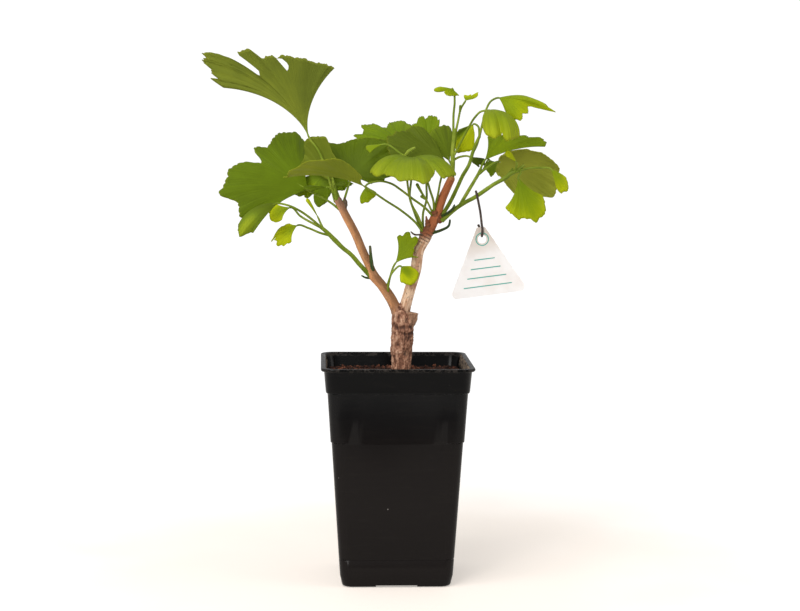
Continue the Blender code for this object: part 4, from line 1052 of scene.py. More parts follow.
def make_soil(look):
    """The compost that fills the pot, with crumbs scattered on top."""
    half = inside_half_width(SOIL_TOP) - SOIL_GAP
    corner = POT_CORNER[1] - 1.0
    deselect()
    bpy.ops.mesh.primitive_grid_add(x_subdivisions=110, y_subdivisions=110, size=2 * half * MM)
    soil = bpy.context.object
    soil.name = "soil_compost"
    places = vertices_of(soil) / MM
    inner = half - corner
    beyond = np.clip(np.abs(places[:, :2]) - inner, 0, None)
    both = (beyond[:, 0] > 0) & (beyond[:, 1] > 0)
    length = np.linalg.norm(beyond, axis=1)
    pull = np.where(both, beyond.max(axis=1) / np.maximum(length, 1e-9), 1.0)
    places[:, :2] = np.where(
        both[:, None], np.sign(places[:, :2]) * (inner + beyond * pull[:, None]), places[:, :2]
    )
    for index, (x, y, _) in enumerate(places):
        rough = noise.fractal(Vector((x, y, 3.0)) * 0.35, 0.8, 2.0, 5)
        edge = 1 - max(abs(x), abs(y)) / half
        places[index, 2] = soil_height(x, y) + 0.9 * rough * min(1, 8 * edge)
    move_vertices(soil, places * MM)
    bpy.ops.object.mode_set(mode="EDIT")
    bpy.ops.mesh.select_all(action="SELECT")
    bpy.ops.mesh.region_to_loop()
    now = half
    for height in (141.0, 106.0, 61.5, 20.0, 3.1):
        bpy.ops.mesh.extrude_edges_move()
        bpy.ops.mesh.select_mode(type="VERT")
        wide = inside_half_width(height) - SOIL_GAP
        bpy.ops.transform.resize(value=(wide / now, wide / now, 0), center_override=(0, 0, height * MM))
        now = wide
        bpy.ops.mesh.select_mode(type="EDGE")
    bpy.ops.mesh.edge_face_add()
    bpy.ops.mesh.select_all(action="SELECT")
    bpy.ops.mesh.normals_make_consistent(inside=False)
    bpy.ops.object.mode_set(mode="OBJECT")
    keep_values(soil, "pale", "FLOAT", np.zeros(len(soil.data.vertices)))
    deselect()
    bpy.ops.mesh.primitive_ico_sphere_add(subdivisions=2, radius=1.0)
    seed_crumb = bpy.context.object
    shape = vertices_of(seed_crumb)
    faces = np.array([face.vertices[:] for face in seed_crumb.data.polygons])
    bpy.data.objects.remove(seed_crumb, do_unlink=True)
    rng = np.random.default_rng(11)
    points, all_faces, pale = [], [], []
    for index in range(look.crumbs):
        x, y = rng.uniform(-(half - 1.5), half - 1.5, 2)
        if math.hypot(x - 4, y) < 8 or (abs(x) > inner and abs(y) > inner):
            continue
        size = 0.35 + 1.3 * rng.random() ** 3
        lumps = 1 + 0.28 * rng.standard_normal(len(shape)) * 0.6
        squash = rng.uniform(0.55, 1.25, 3)
        turn = rng.uniform(0, 2 * math.pi)
        crumb = shape * lumps[:, None] * squash * size
        spun = crumb.copy()
        spun[:, 0] = crumb[:, 0] * math.cos(turn) - crumb[:, 1] * math.sin(turn)
        spun[:, 1] = crumb[:, 0] * math.sin(turn) + crumb[:, 1] * math.cos(turn)
        lift = soil_height(x, y) + 0.25 * size + rng.uniform(-0.2, 0.5)
        all_faces.append(faces + len(points) * len(shape))
        points.append(spun + (x, y, lift))
        pale.append(np.full(len(shape), rng.random() ** 4))
    mesh = bpy.data.meshes.new("crumbs")
    mesh.from_pydata((np.concatenate(points) * MM).tolist(), [], np.concatenate(all_faces).tolist())
    crumbs = bpy.data.objects.new("crumbs", mesh)
    bpy.context.scene.collection.objects.link(crumbs)
    keep_values(crumbs, "pale", "FLOAT", np.concatenate(pale))
    join(soil, crumbs)
    complete(soil, "soil", "soil", finishes=[earth_finish(look)])


def limb_places(points):
    """Samples along a limb: places, unit directions, radii and millimetres from its start."""
    places, radii = smooth_path(points, 0.8)
    directions = np.gradient(places, axis=0)
    directions /= np.linalg.norm(directions, axis=1, keepdims=True)
    along = np.concatenate([[0], np.cumsum(np.linalg.norm(np.diff(places, axis=0), axis=1))])
    return places, directions, radii, along


def nearest_limb(places, limbs):
    """For each place, the number of the limb whose skin is nearest, and of the nearest sample on it."""
    best = np.full(len(places), 1e9)
    limb_of = np.zeros(len(places), int)
    nearest = np.zeros(len(places), int)
    for number, (at, _, radii, _) in enumerate(limbs):
        for start in range(0, len(places), 8000):
            part = slice(start, start + 8000)
            apart = np.linalg.norm(places[part, None, :] - at[None], axis=2) - radii[None]
            closest = apart.argmin(axis=1)
            value = apart[np.arange(len(closest)), closest]
            better = value < best[part]
            best[part] = np.where(better, value, best[part])
            limb_of[part] = np.where(better, number, limb_of[part])
            nearest[part] = np.where(better, closest, nearest[part])
    return limb_of, nearest


def limb_grain(places, limbs, limb_of, nearest):
    """For each place, where it is across and along its limb, the way out of it, and how far along it is."""
    grain = np.zeros_like(places)
    outward = np.zeros_like(places)
    along_limb = np.zeros(len(places))
    for number, (at, directions, _, along) in enumerate(limbs):
        mine = limb_of == number
        axis = directions[nearest[mine]]
        offset = places[mine] - at[nearest[mine]]
        first = np.array([1.0, 0, 0]) - axis * axis[:, :1]
        first /= np.linalg.norm(first, axis=1, keepdims=True)
        second = np.cross(axis, first)
        radial = offset - axis * (offset * axis).sum(1, keepdims=True)
        length = np.maximum(np.linalg.norm(radial, axis=1, keepdims=True), 1e-6)
        outward[mine] = radial / length
        along_limb[mine] = along[nearest[mine]] + (offset * axis).sum(1)
        grain[mine] = np.stack(
            [
                (radial * first).sum(1) + GRAIN_APART * number,
                (radial * second).sum(1),
                along_limb[mine],
            ],
            axis=1,
        )
    return grain, outward, along_limb


def bark_finish(look):
    finish = Finish("ginkgo_bark", Metallic=0.0, Specular_IOR_Level=0.35)
    grain = finish.attribute("grain", "Vector")
    x, y, z = finish.parts(grain)
    tint = finish.attribute("tint", "Color")
    crack = finish.attribute("crack")
    streaks = finish.noise(finish.vector(x * 900, y * 900, z * 90), 1, 4, 0.6)
    blotch = finish.noise(finish.vector(x * 140, y * 140, z * 70), 1, 3, 0.6)
    speck = finish.noise(grain, 1500, 2)
    base = finish.mix(tint, display(120, 78, 56), finish.between(streaks, 0.52, 0.72) * 0.35)
    base = finish.mix(base, display(222, 186, 152), finish.between(blotch, 0.55, 0.75) * 0.25)
    base = finish.mix(base, display(84, 54, 40), finish.between(speck, 0.62, 0.72) * 0.3)
    base = finish.mix(base, look.crack, crack)
    finish.fill(finish.shader, {"Base Color": base, "Roughness": 0.62 + streaks * 0.25})
    finish.bump(streaks + speck * 0.5 + crack * -1, 0.5, 0.25)
    return finish.material


def make_wood(look):
    """Trunk, stub, branches, spurs and dried stalks, fused by remeshing, then cracked and ringed."""
    tubes = [
        stem(name, points, 1.5, 16, rounded=name != "stub") for name, points in LIMBS.items()
    ]
    wood = join(*tubes)
    wood.name = "tree_bark"
    modify(wood, "REMESH", mode="VOXEL", voxel_size=look.detail)
    modify(wood, "SMOOTH", factor=0.5, iterations=4)
    places = vertices_of(wood) / MM
    names = list(LIMBS)
    limbs = [limb_places(points) for points in LIMBS.values()]
    limb_of, nearest = nearest_limb(places, limbs)
    grain, outward, along_limb = limb_grain(places, limbs, limb_of, nearest)
    tint = np.zeros((len(places), 4))
    tint[:, 3] = 1
    crack = np.zeros(len(places))
    lift = np.zeros(len(places))
    colours = {
        "branch": look.branch,
        "red": display(192, 112, 70),
        "spur": display(142, 84, 54),
        "tan": display(208, 160, 126),
        "pale": display(250, 214, 182),
        "grey": display(160, 118, 92),
        "dried": display(48, 72, 26),
        "twig": display(88, 74, 58),
        "cut": display(178, 142, 112),
        "tip": display(150, 140, 50),
    }
    palette = {name: np.array(colour) for name, colour in colours.items()}
    upper, middle, lower = TRUNK_RINGS
    bark_shades = (0.1, 0.38, 0.62, 0.95)
    bark_colours = (display(84, 54, 42), display(132, 88, 66), look.trunk, display(216, 178, 150))
    for index, (x, y, z) in enumerate(places):
        name = names[limb_of[index]]
        a, b, c = grain[index]
        s = along_limb[index]
        slow = noise.noise(Vector((a * 0.12, b * 0.12, c * 0.05)))
        fine = noise.noise(Vector((a * 1.3, b * 1.3, c * 0.18)))
        flake = noise.noise(Vector((x * 0.5 + 2 * slow, y * 0.5, z * 0.2)))
        chip = noise.noise(Vector((x * 1.3, y * 1.3, z * 0.7)))
        old = 1.0 if name in ("trunk", "stub") else float(steps(*OLD_BARK_ENDS, z))
        right = float(steps(-3, 6, x))
        ring = (0.35 + 0.65 * right) * hump(z - upper - 1.5 * slow, 1.3)
        ring += right * hump(z - middle + 2 * slow, 1.0)
        ring += 0.6 * (1 - right) * hump(z - lower + 2 * slow, 0.9)
        ring *= 0.8 + chip
        (left_x, left_z), (right_x, right_z) = FORK_EYES
        eye = math.exp(-((x - left_x) ** 2 + ((z - left_z) * 0.8) ** 2) / 0.7)
        eye += math.exp(-((x - right_x) ** 2 + ((z - right_z) * 0.9) ** 2) / 0.6)
        old_lift = 1.1 * flake + 0.5 * chip - 0.9 * ring
        old_crack = min(1.0, max(0.0, 0.9 * ring + eye + 1.3 * (-0.3 - flake - 0.4 * chip)) * 0.75)
        # The last term is painted light: the bark is a little lighter on its left side and darker on its
        # right
        shade = 0.5 + 0.45 * flake + 0.4 * chip + 0.25 * fine - 0.4 * ring - 0.12 * (right - 0.5)
        bark = np.array([np.interp(shade, bark_shades, [row[i] for row in bark_colours]) for i in range(3)])
        if name == "stub":
            bark = 0.5 * bark + 0.5 * palette["cut"] * (1 + 0.5 * fine)
        colour, young_lift, young_crack = bark, 0.0, 0.0
        if name.startswith("dried"):
            colour = palette["twig" if "fork" in name else "dried"] * (1 + 0.4 * fine)
        elif name == "left":
            high = float(steps(262, 278, z))
            colour = palette["branch"] * (1 - high) + palette["grey"] * high
            node = hump(z - LEFT_NODE, 2.2)
            # Painted light: edge brightens the branch's left side, and the low factor where edge is 0
            # darkens its right side
            edge = float(steps(-1.5, 2.8, -a + GRAIN_APART * names.index("left")))
            colour = colour * (0.62 + 0.9 * edge) * (1 + 0.3 * fine)
            young_lift = 0.12 * fine + 0.25 * node * noise.noise(Vector((a, b, c)) * 0.5)
            low = float(steps(214, 200, z))
            young_crack = 0.5 * node * max(0.0, fine) + low * max(0.0, 1.6 * (chip - 0.15))
            young_crack += 0.3 * max(0.0, fine)
        elif name in ("right", "bud_right"):
            high = float(steps(246, 254, z))
            pale = float(steps(-0.25, 0.25, noise.noise(Vector((a * 0.7, b * 0.7, c * 0.16)))))
            below = palette["tan"] * (1 - pale) + palette["pale"] * pale
            end = float(steps(291, 296, z))
            # Painted shade: the red bark above the node is darkened near the node and lighter further up
            colour = below * (1 - high) + palette["red"] * high * float(steps(250, 268, z) * 0.5 + 0.6)
            colour = colour * (1 - 0.6 * end) + palette["tip"] * 0.6 * end
            rings = hump(z - RIGHT_RINGS, 4.5) * max(0.0, math.sin(s * 2.6 + 1.5 * slow))
            young_lift = 0.16 * fine - 0.45 * rings
            young_crack = 0.9 * rings + (0.25 * max(0.0, fine) + max(0.0, 1.5 * (chip - 0.25))) * (1 - high)
        elif name not in ("trunk", "stub"):
            colour = palette["twig" if name == "bud_left" else "spur"]
            scales = max(0.0, math.sin(s * 2.4 + slow))
            young_lift = 0.1 * fine - 0.3 * scales
            young_crack = 0.4 * scales
        colour = bark * old + colour * (1 - old)
        lift[index] = old_lift * old + young_lift * (1 - old) + 0.3 * slow
        crack[index] = old_crack * old + young_crack * (1 - old)
        tint[index, :3] = np.clip(colour * (1 + 0.12 * fine), 0, 1)
    places += outward * (lift * look.crack_depth / MM)[:, None]
    move_vertices(wood, places * MM)
    keep_values(wood, "grain", "FLOAT_VECTOR", grain * MM)
    keep_values(wood, "tint", "FLOAT_COLOR", tint)
    keep_values(wood, "crack", "FLOAT", np.clip(crack, 0, 1))
    complete(wood, "bark", "trunk", finishes=[bark_finish(look)])


def green_finish(name, look, brown=0.25):
    """Green shoots and leaf stalks, with paler ridges and brown at their nodes."""
    finish = Finish(name, Metallic=0.0, Specular_IOR_Level=0.2)
    place = finish.place()
    x, y, z = finish.parts(place)
    blotch = finish.noise(place, 90, 2, 0.5)
    fleck = finish.noise(finish.vector(x * 1100, y * 1100, z * 500), 1, 3, 0.6)
    base = finish.ramp(
        blotch,
        (0.3, display(104, 124, 26)),
        (0.5, tuple(look.shoot)),
        (0.72, display(148, 162, 56)),
    )
    base = finish.mix(base, display(120, 104, 44), finish.between(fleck, 0.6, 0.8) * brown)
    finish.fill(finish.shader, {"Base Color": base, "Roughness": 0.42 + fleck * 0.2})
    finish.bump(fleck, 0.12, 0.1)
    return finish.material


def make_shoots(look):
    noise.seed_set(SHOOT_SEED)
    finish = green_finish("green_shoot", look, 0.3)
    for name, (points, *buds) in SHOOTS.items():
        shoot = stem(name + "_way", points, 0.7, 8)
        if buds:
            shoot = join(shoot, *(stem("bud", bud, 0.5, 8) for bud in buds))
        places = vertices_of(shoot) / MM
        for index, (x, y, z) in enumerate(places):
            places[index] += 0.06 * noise.noise_vector(Vector((x, y, z)) * 0.3)
        move_vertices(shoot, places * MM)
        shoot.name = "green_" + name
        complete(shoot, "shoot", name, finishes=[finish])


def leaf_axes(aim):
    """Unit vectors along the middle ray, across the blade and out of its upper face."""
    azimuth, rise, roll = (math.radians(value) for value in aim)
    along = np.array(
        [math.cos(rise) * math.cos(azimuth), math.cos(rise) * math.sin(azimuth), math.sin(rise)]
    )
    upright = np.array([0.0, 0.0, 1.0]) - along * along[2]
    upright /= np.linalg.norm(upright)
    face = upright * math.cos(roll) + np.cross(along, upright) * math.sin(roll)
    return along, np.cross(face, along), face


def blade_places(leaf, angle, share, reach, relief=0.0):
    """Places on a blade rolled in a cone and bent down along its rays. Share runs from base to rim."""
    along, across, face = leaf_axes(leaf["aim"])
    cone = math.radians(leaf.get("cone", 0.5))
    side = math.copysign(1, cone)
    opening = math.pi / 2 - abs(cone)
    axis = math.cos(opening) * along - side * math.sin(opening) * face
    radial = math.sin(opening) * along + side * math.cos(opening) * face
    turn = (np.radians(angle) / math.sin(opening))[..., None]
    ring = np.cos(turn) * radial + np.sin(turn) * across
    ray = math.cos(opening) * axis + math.sin(opening) * ring
    normal = -side * (math.sin(opening) * axis - math.cos(opening) * ring)
    droop = np.radians(at_angle(leaf.get("droop", 0), angle))
    middles = (np.arange(16) + 0.5) / 16
    bend = droop[..., None] * (share[..., None] * middles) ** 1.5
    out = np.cos(bend).mean(-1) * share * reach
    down = np.sin(bend).mean(-1) * share * reach
    swell = -leaf.get("swell", 0) * np.sin(math.pi * share) * np.cos(2 * np.radians(angle))
    return (
        np.array(leaf["base"], float) + ray * out[..., None] + normal * (swell + relief - down)[..., None]
    )


def rim_reach(leaf, angle, seed):
    """How far the rim is out at an angle: the table's outline with scallops and ragged teeth."""
    reach = at_angle(leaf["rim"], angle)
    mean = np.mean([value for _, value in leaf["rim"]])
    along = np.radians(angle) * mean
    depth, width = leaf.get("scallop", (0.55, 3.2))
    warped = along + 0.9 * ripple(along, 9.0, seed)
    scallop = np.abs(np.sin(math.pi * warped / width)) ** 0.7 - 0.65
    ragged = leaf.get("ragged", 0.5) * ripple(along, 7.0, seed + 3)
    limit = min(1.0, mean / 25)
    return reach + limit * (depth * scallop + 0.5 * ragged)


def cleft_side(share, start, before, after=None, bulge=0.0):
    """How far one side of a cleft stands back, in degrees, from where the cleft starts out to the rim."""
    opened = np.clip((share - start) / (1 - start), 0, 1)
    return (before if after is None else after) * opened**0.8 + bulge * np.sin(math.pi * opened)


def make_blade(name, leaf, look, seed):
    """The fan, one grid for each lobe, joined below the clefts and given its thickness."""
    rim = leaf["rim"]
    first, last = rim[0][0], rim[-1][0]
    middle = (first + last) / 2
    clefts = leaf.get("clefts", ())
    edges = [first, *(cleft[0] for cleft in clefts), last]
    longest = max(value for _, value in rim)
    rows = int(np.clip(longest / 2.2, 8, 26))
    pleat, wave = look.pleat / MM, look.wave / MM
    lobes = []
    for index, (low, high) in enumerate(zip(edges[:-1], edges[1:])):
        count = max(8, math.ceil(math.radians(high - low) * longest / 0.55))
        deselect()
        bpy.ops.mesh.primitive_grid_add(x_subdivisions=count, y_subdivisions=rows, size=1)
        lobe = bpy.context.object
        flat = vertices_of(lobe)
        over = flat[:, 0] + 0.5
        share = 0.03 + 0.97 * (flat[:, 1] + 0.5)
        left = np.full_like(share, low)
        right = np.full_like(share, high)
        if index > 0:
            left += cleft_side(share, *clefts[index - 1][1:])
        if index < len(clefts):
            right -= cleft_side(share, *clefts[index][1:3])
        angle = left + (right - left) * over
        reach = rim_reach(leaf, angle, seed) * (1 - 0.012 * np.abs(2 * over - 1) ** 8)
        neck = leaf.get("neck", 0.6)
        drawn = middle + (angle - middle) * (neck + (1 - neck) * share ** leaf.get("spread", 1.5))
        relief = pleat * min(1, longest / 40) * share * np.sin(np.radians(angle) * longest * 2.1 + 2 * seed)
        relief += wave * share**2.5 * ripple(angle, 26.0, seed + 1) * min(1, longest / 40)
        places = blade_places(leaf, drawn, share, reach, relief)
        move_vertices(lobe, places * MM)
        fan = np.stack([angle, share * reach, np.full_like(angle, seed)], axis=1)
        keep_values(lobe, "fan", "FLOAT_VECTOR", fan)
        inner, outer = leaf.get("tone", (0.4, 0.4))
        tone = inner + (outer - inner) * share**1.6
        for at, out, across, length, change in leaf.get("patches", ()):
            tone = tone + change * np.exp(-(((angle - at) / across) ** 2) - ((share - out) / length) ** 2)
        olive = np.full_like(tone, leaf.get("olive", 0.0))
        keep_values(lobe, "look", "FLOAT_VECTOR", np.stack([tone, olive, share], axis=1))
        lobes.append(lobe)
    blade = join(*lobes)
    blade.name = name
    edit(blade, (bpy.ops.mesh.remove_doubles, {"threshold": 2e-6}))
    blade.data.update()
    _, _, face = leaf_axes(leaf["aim"])
    mean = np.mean([polygon.normal[:] for polygon in blade.data.polygons], axis=0)
    if mean @ face < 0:
        edit(blade, (bpy.ops.mesh.flip_normals, {}))
    return blade


def make_leaf(name, look, seed, finishes):
    leaf = LEAVES[name]
    blade = make_blade(name.replace("leaf_", "fan_"), leaf, look, seed)
    for finish in finishes[:2]:
        blade.data.materials.append(finish)
    modify(
        blade,
        "SOLIDIFY",
        thickness=look.thickness,
        offset=0,
        material_offset=1,
        material_offset_rim=0,
    )
    rim_middle = (leaf["rim"][0][0] + leaf["rim"][-1][0]) / 2
    reach = min(value for _, value in leaf["rim"])
    inner = blade_places(leaf, np.full(2, rim_middle), np.array([0.1, 0.24]), np.full(2, reach))
    ends = [*leaf["stalk"], leaf["base"]]
    radii = np.linspace(0.9, 0.72, len(ends))
    points = [(*end, radius) for end, radius in zip(ends, radii)]
    points += [(*inner[0], 0.5), (*inner[1], 0.24)]
    stalks = [stem("stalk", points, 0.9, 6)]
    if "bud" in leaf:
        stalks.append(stem("bud", leaf["bud"], 0.6, 6))
    for stalk in stalks:
        stalk.data.materials.append(finishes[2])
    join(blade, *stalks)
    complete(blade, "leaf", name)


def leaf_finish(name, look, under):
    """A blade's finish: tone and greyness from the leaf's own values, streaks and veins along its rays."""
    finish = Finish(name, Metallic=0.0, Specular_IOR_Level=0.07)
    angle, out, seed = finish.parts(finish.attribute("fan", "Vector"))
    tone, olive, share = finish.parts(finish.attribute("look", "Vector"))
    streaks = finish.noise(finish.vector(angle * 0.5, out * 0.035, seed * 3), 1, 4, 0.6)
    patch = finish.noise(finish.place(), 45, 2)
    lines = finish.node("ShaderNodeMath", {"operation": "SINE"}, (angle * 1.6,))
    fine = finish.node("ShaderNodeMath", {"operation": "SINE"}, (angle * 3.2,))
    far = finish.between(out, 18, 34)
    veins = lines * (1 - far) + fine * far
    spread = finish.between(out, 8, 28)
    mixed = tone + (streaks - 0.5) * (spread * 0.17 + 0.03) + (patch - 0.5) * 0.3 + veins * 0.01
    fresh = finish.ramp(
        mixed,
        (0.0, tuple(look.deep)),
        (0.26, display(82, 100, 12)),
        (0.5, tuple(look.fresh)),
        (0.76, display(134, 152, 12)),
        (0.97, tuple(look.yellow)),
    )
    grey = finish.ramp(
        mixed,
        (0.0, display(66, 76, 22)),
        (0.42, tuple(look.olive)),
        (0.7, display(134, 140, 46)),
        (1.0, display(168, 170, 70)),
    )
    greyness = olive * 0.85 + (0.15 if under else 0.0)
    base = finish.mix(fresh, grey, greyness)
    worn = finish.between(share + (streaks - 0.5) * 0.06, 0.975, 1.0)
    base = finish.mix(base, display(150, 148, 40), worn * 0.25)
    finish.fill(finish.shader, {"Base Color": base})
    finish.fill(finish.shader, {"Roughness": (0.56 if under else 0.46) + streaks * 0.14})
    finish.bump((veins * 0.3 + streaks * 0.5) * spread, 0.2 if under else 0.18, 0.2)
    return finish.material


def make_leaves(look):
    finishes = (
        leaf_finish("leaf_face", look, False),
        leaf_finish("leaf_underside", look, True),
        green_finish("leaf_stalk", look, 0.15),
    )
    for seed, name in enumerate(LEAVES):
        make_leaf(name, look, seed, finishes)


def label_outline(smoothness=12):
    """Corners of the label about its hole, each rounded by an arc."""
    low, high = -LABEL_BELOW_HOLE, LABEL_ABOVE_HOLE
    half, top = LABEL_WIDTH / 2, LABEL_TOP_HALF_WIDTH
    corners = ((-half, low), (half, low), (top, high), (-top, high))
    radii = (LABEL_CORNER, LABEL_CORNER, LABEL_TOP_CORNER, LABEL_TOP_CORNER)
    outline = []
    for index, (corner, radius) in enumerate(zip(corners, radii)):
        corner = np.array(corner)
        before = np.array(corners[index - 1]) - corner
        after = np.array(corners[(index + 1) % 4]) - corner
        before /= np.linalg.norm(before)
        after /= np.linalg.norm(after)
        bisector = (before + after) / np.linalg.norm(before + after)
        half_angle = math.acos(float(before @ after)) / 2
        center = corner + bisector * radius / math.sin(half_angle)
        start = math.atan2(*(corner + before * radius / math.tan(half_angle) - center)[::-1])
        sweep = math.pi - 2 * half_angle
        for step in range(smoothness + 1):
            angle = start + sweep * step / smoothness
            outline.append(center + radius * np.array([math.cos(angle), math.sin(angle)]))
    return outline


def card_finish(look):
    """Coated card with ruled lines to write on and a ring about the hole."""
    finish = Finish("coated_card", Metallic=0.0, Specular_IOR_Level=0.5)
    x, y, z = finish.parts(finish.attribute("card", "Vector"))
    place = finish.place()
    blotch = finish.noise(place, 55, 3, 0.55)
    base = finish.mix(look.card, display(234, 222, 214), finish.between(blotch, 0.42, 0.7) * 0.4)
    # Painted shade: the card turns beige towards its top, about the hole
    base = finish.mix(base, display(200, 182, 164), finish.between(y, -16, 6) * 0.6)
    ink = None
    for height in LABEL_LINES:
        reach = (LABEL_ABOVE_HOLE - height) * 0.52 - 4.5
        line = finish.between(abs(y - height), 0.42, 0.3) * finish.between(abs(x), reach, reach - 0.25)
        ink = line if ink is None else ink + line
    round_hole = (x * x + y * y) ** 0.5
    ink = ink + finish.between(abs(round_hole - 4.5), 0.4, 0.28)
    ink = ink * finish.between(z, 0.0, 0.1)
    base = finish.mix(base, look.ink, ink)
    finish.fill(finish.shader, {"Base Color": base, "Roughness": 0.34 + blotch * 0.12})
    finish.bump(finish.noise(place, 700, 3) + ink * 0.5, 0.12, 0.08)
    return finish.material


def make_label(look):
    """The card, filled between its outline and its hole, with softened edges and a slight bow."""
    curve = empty_curve().data
    curve.dimensions = "2D"
    curve.fill_mode = "BOTH"
    curve.extrude = LABEL_THICKNESS / 2 * MM
    hole = [
        LABEL_HOLE_RADIUS * np.array([math.cos(angle), math.sin(angle)])
        for angle in np.linspace(0, 2 * math.pi, 48, endpoint=False)
    ]
    for outline in (label_outline(), hole):
        spline = curve.splines.new("POLY")
        spline.use_cyclic_u = True
        spline.points.add(len(outline) - 1)
        for point, (x, y) in zip(spline.points, outline):
            point.co = (x * MM, y * MM, 0, 1)
    bpy.ops.object.convert(target="MESH")
    label = bpy.context.object
    label.name = "label_card"
    weld(label)
    for height in np.arange(-38, 8, 2.5):
        edit(label, (bpy.ops.mesh.bisect, {"plane_co": (0, height * MM, 0), "plane_no": (0, 1, 0)}))
    for across in np.arange(-26, 27, 2.6):
        edit(label, (bpy.ops.mesh.bisect, {"plane_co": (across * MM, 0, 0), "plane_no": (1, 0, 0)}))
    modify(label, "BEVEL", width=0.18 * MM, segments=3, limit_method="ANGLE", angle_limit=math.radians(50))
    flat = vertices_of(label) / MM
    keep_values(label, "card", "FLOAT_VECTOR", flat)
    bow = 0.5 * (flat[:, 0] / 29) ** 2 * steps(0, -20, flat[:, 1])
    tilt = math.radians(-LABEL_TILT)
    turned = np.stack([flat[:, 0], -(flat[:, 2] + bow), flat[:, 1]], axis=1)
    x = turned[:, 0] * math.cos(tilt) + turned[:, 2] * math.sin(tilt)
    z = -turned[:, 0] * math.sin(tilt) + turned[:, 2] * math.cos(tilt)
    move_vertices(label, (np.stack([x, turned[:, 1], z], axis=1) + LABEL_HOLE_AT) * MM)
    complete(label, "label", "label", finishes=[card_finish(look)])
    pick(label)
    bpy.ops.object.shade_smooth_by_angle(angle=math.radians(30))


def make_wire(look):
    """The wire from its turned-up end behind the label, through the hole and up to its hook."""
    x, y, z = LABEL_HOLE_AT
    points = [(x - 2.9, y + WIRE_FRONT, z + 10.6), (x - 0.8, y + WIRE_FRONT, z + 5.6)]
    for degrees in (150, 120, 90, 60, 30):
        angle = math.radians(degrees)
        points.append(
            (
                x - 0.2,
                y - WIRE_FRONT * math.cos(angle),
                z + WIRE_SEAT + WIRE_FRONT * (1 - math.sin(angle)),
            )
        )
    points += [(x, y - WIRE_FRONT, z + 5.6), *WIRE_HOOK]
    wire = stem("label_hook", [(*point, WIRE_RADIUS) for point in points], 0.4, 8)
    finish = Finish("coated_wire", Metallic=0.0)
    place = finish.place()
    scratch = finish.noise(place, 600, 3, 0.6)
    base = finish.mix(look.wire, display(112, 92, 76), finish.between(scratch, 0.5, 0.7) * 0.5)
    finish.fill(finish.shader, {"Base Color": base, "Roughness": 0.35 + scratch * 0.25})
    finish.bump(scratch, 0.3, 0.1)
    complete(wire, "wire", "label_wire", finishes=[finish.material])


def add_light(name, at, aim, size, strength, colour):
    """A soft square light of a size in metres, turned to face a place."""
    bpy.ops.object.light_add(type="AREA", location=at)
    light = bpy.context.object
    light.name = name
    light.data.size = size
    light.data.energy = strength
    light.data.color = colour
    direction = Vector(aim) - Vector(at)
    light.rotation_euler = direction.to_track_quat("-Z", "Y").to_euler()


def make_camera():
    """The camera that took the picture, turned by its yaw, pitch and roll."""
    deselect()
    c, s = math.cos(CAMERA_YAW), math.sin(CAMERA_YAW)
    right, ahead, up = Vector((c, s, 0)), Vector((-s, c, 0)), Vector((0, 0, 1))
    forward = ahead * math.cos(CAMERA_PITCH) - up * math.sin(CAMERA_PITCH)
    above = ahead * math.sin(CAMERA_PITCH) + up * math.cos(CAMERA_PITCH)
    across = right * math.cos(CAMERA_ROLL) + above * math.sin(CAMERA_ROLL)
    over = above * math.cos(CAMERA_ROLL) - right * math.sin(CAMERA_ROLL)
    bpy.ops.object.camera_add(location=[value * MM for value in CAMERA_AT])
    camera = bpy.context.object
    camera.name = "picture_camera"
    camera.data.lens = CAMERA_LENS
    camera.data.sensor_width = 36
    camera.data.sensor_fit = "HORIZONTAL"
    turned = camera.matrix_world.copy()
    for row in range(3):
        turned[row][0], turned[row][1], turned[row][2] = across[row], over[row], -forward[row]
    camera.matrix_world = turned
    bpy.context.scene.camera = camera


def make_floor(look):
    """A pale floor that fades to white, and reflects as paper with a dark room beyond it."""
    deselect()
    bpy.ops.mesh.primitive_circle_add(vertices=96, radius=8, fill_type="NGON", location=(0, 0, -0.0004))
    floor = bpy.context.object
    floor.name = "floor"
    bpy.ops.object.transform_apply(location=True, rotation=False, scale=False)
    finish = Finish("studio_floor", Metallic=0.0, Roughness=0.6, Specular_IOR_Level=0.2)
    x, y, _ = finish.parts(finish.place())
    away = (x * x + y * y) ** 0.5
    mottle = finish.noise(finish.place(), 9, 3)
    near = finish.between(away + (mottle - 0.5) * 0.25, 0.12, 0.55)
    base = finish.mix(look.floor, (1, 1, 1), near)
    glow = {"Emission Color": (1, 0.94, 0.87), "Emission Strength": 0.4}
    finish.fill(finish.shader, {"Base Color": base, **glow})
    white = finish.node("ShaderNodeEmission", values={"Color": (1, 1, 1), "Strength": 1.1})
    shown = finish.node(
        "ShaderNodeMixShader",
        values=(finish.between(away, 0.2, 0.8), Value(finish, finish.shader.outputs[0]), white),
    )
    dip = finish.node("ShaderNodeMath", {"operation": "EXPONENT"}, (x * x * -2200,))
    beyond = finish.between(y * -1 + dip * 0.1, 0.4, 0.44)
    room = finish.mix((0.9, 0.87, 0.83), (0.02, 0.025, 0.03), beyond)
    paper = finish.node("ShaderNodeBsdfDiffuse", values={"Color": room})
    seen = finish.node("ShaderNodeLightPath", output="Is Camera Ray")
    both = finish.node("ShaderNodeMixShader", values=(seen, paper, shown))
    output = finish.material.node_tree.nodes["Material Output"]
    finish.fill(output, {"Surface": both})
    floor.data.materials.append(finish.material)


def make_world(look):
    """A world that looks white and lights softly."""
    world = bpy.data.worlds.new("studio")
    world.use_nodes = True
    nodes, links = world.node_tree.nodes, world.node_tree.links
    background = nodes["Background"]
    background.inputs["Color"].default_value = (1, 1, 1, 1)
    seen = nodes.new("ShaderNodeLightPath")
    strength = nodes.new("ShaderNodeMapRange")
    strength.inputs["To Min"].default_value = 0.5 * look.light
    strength.inputs["To Max"].default_value = 1.05
    links.new(seen.outputs["Is Camera Ray"], strength.inputs["Value"])
    links.new(strength.outputs["Result"], background.inputs["Strength"])
    bpy.context.scene.world = world


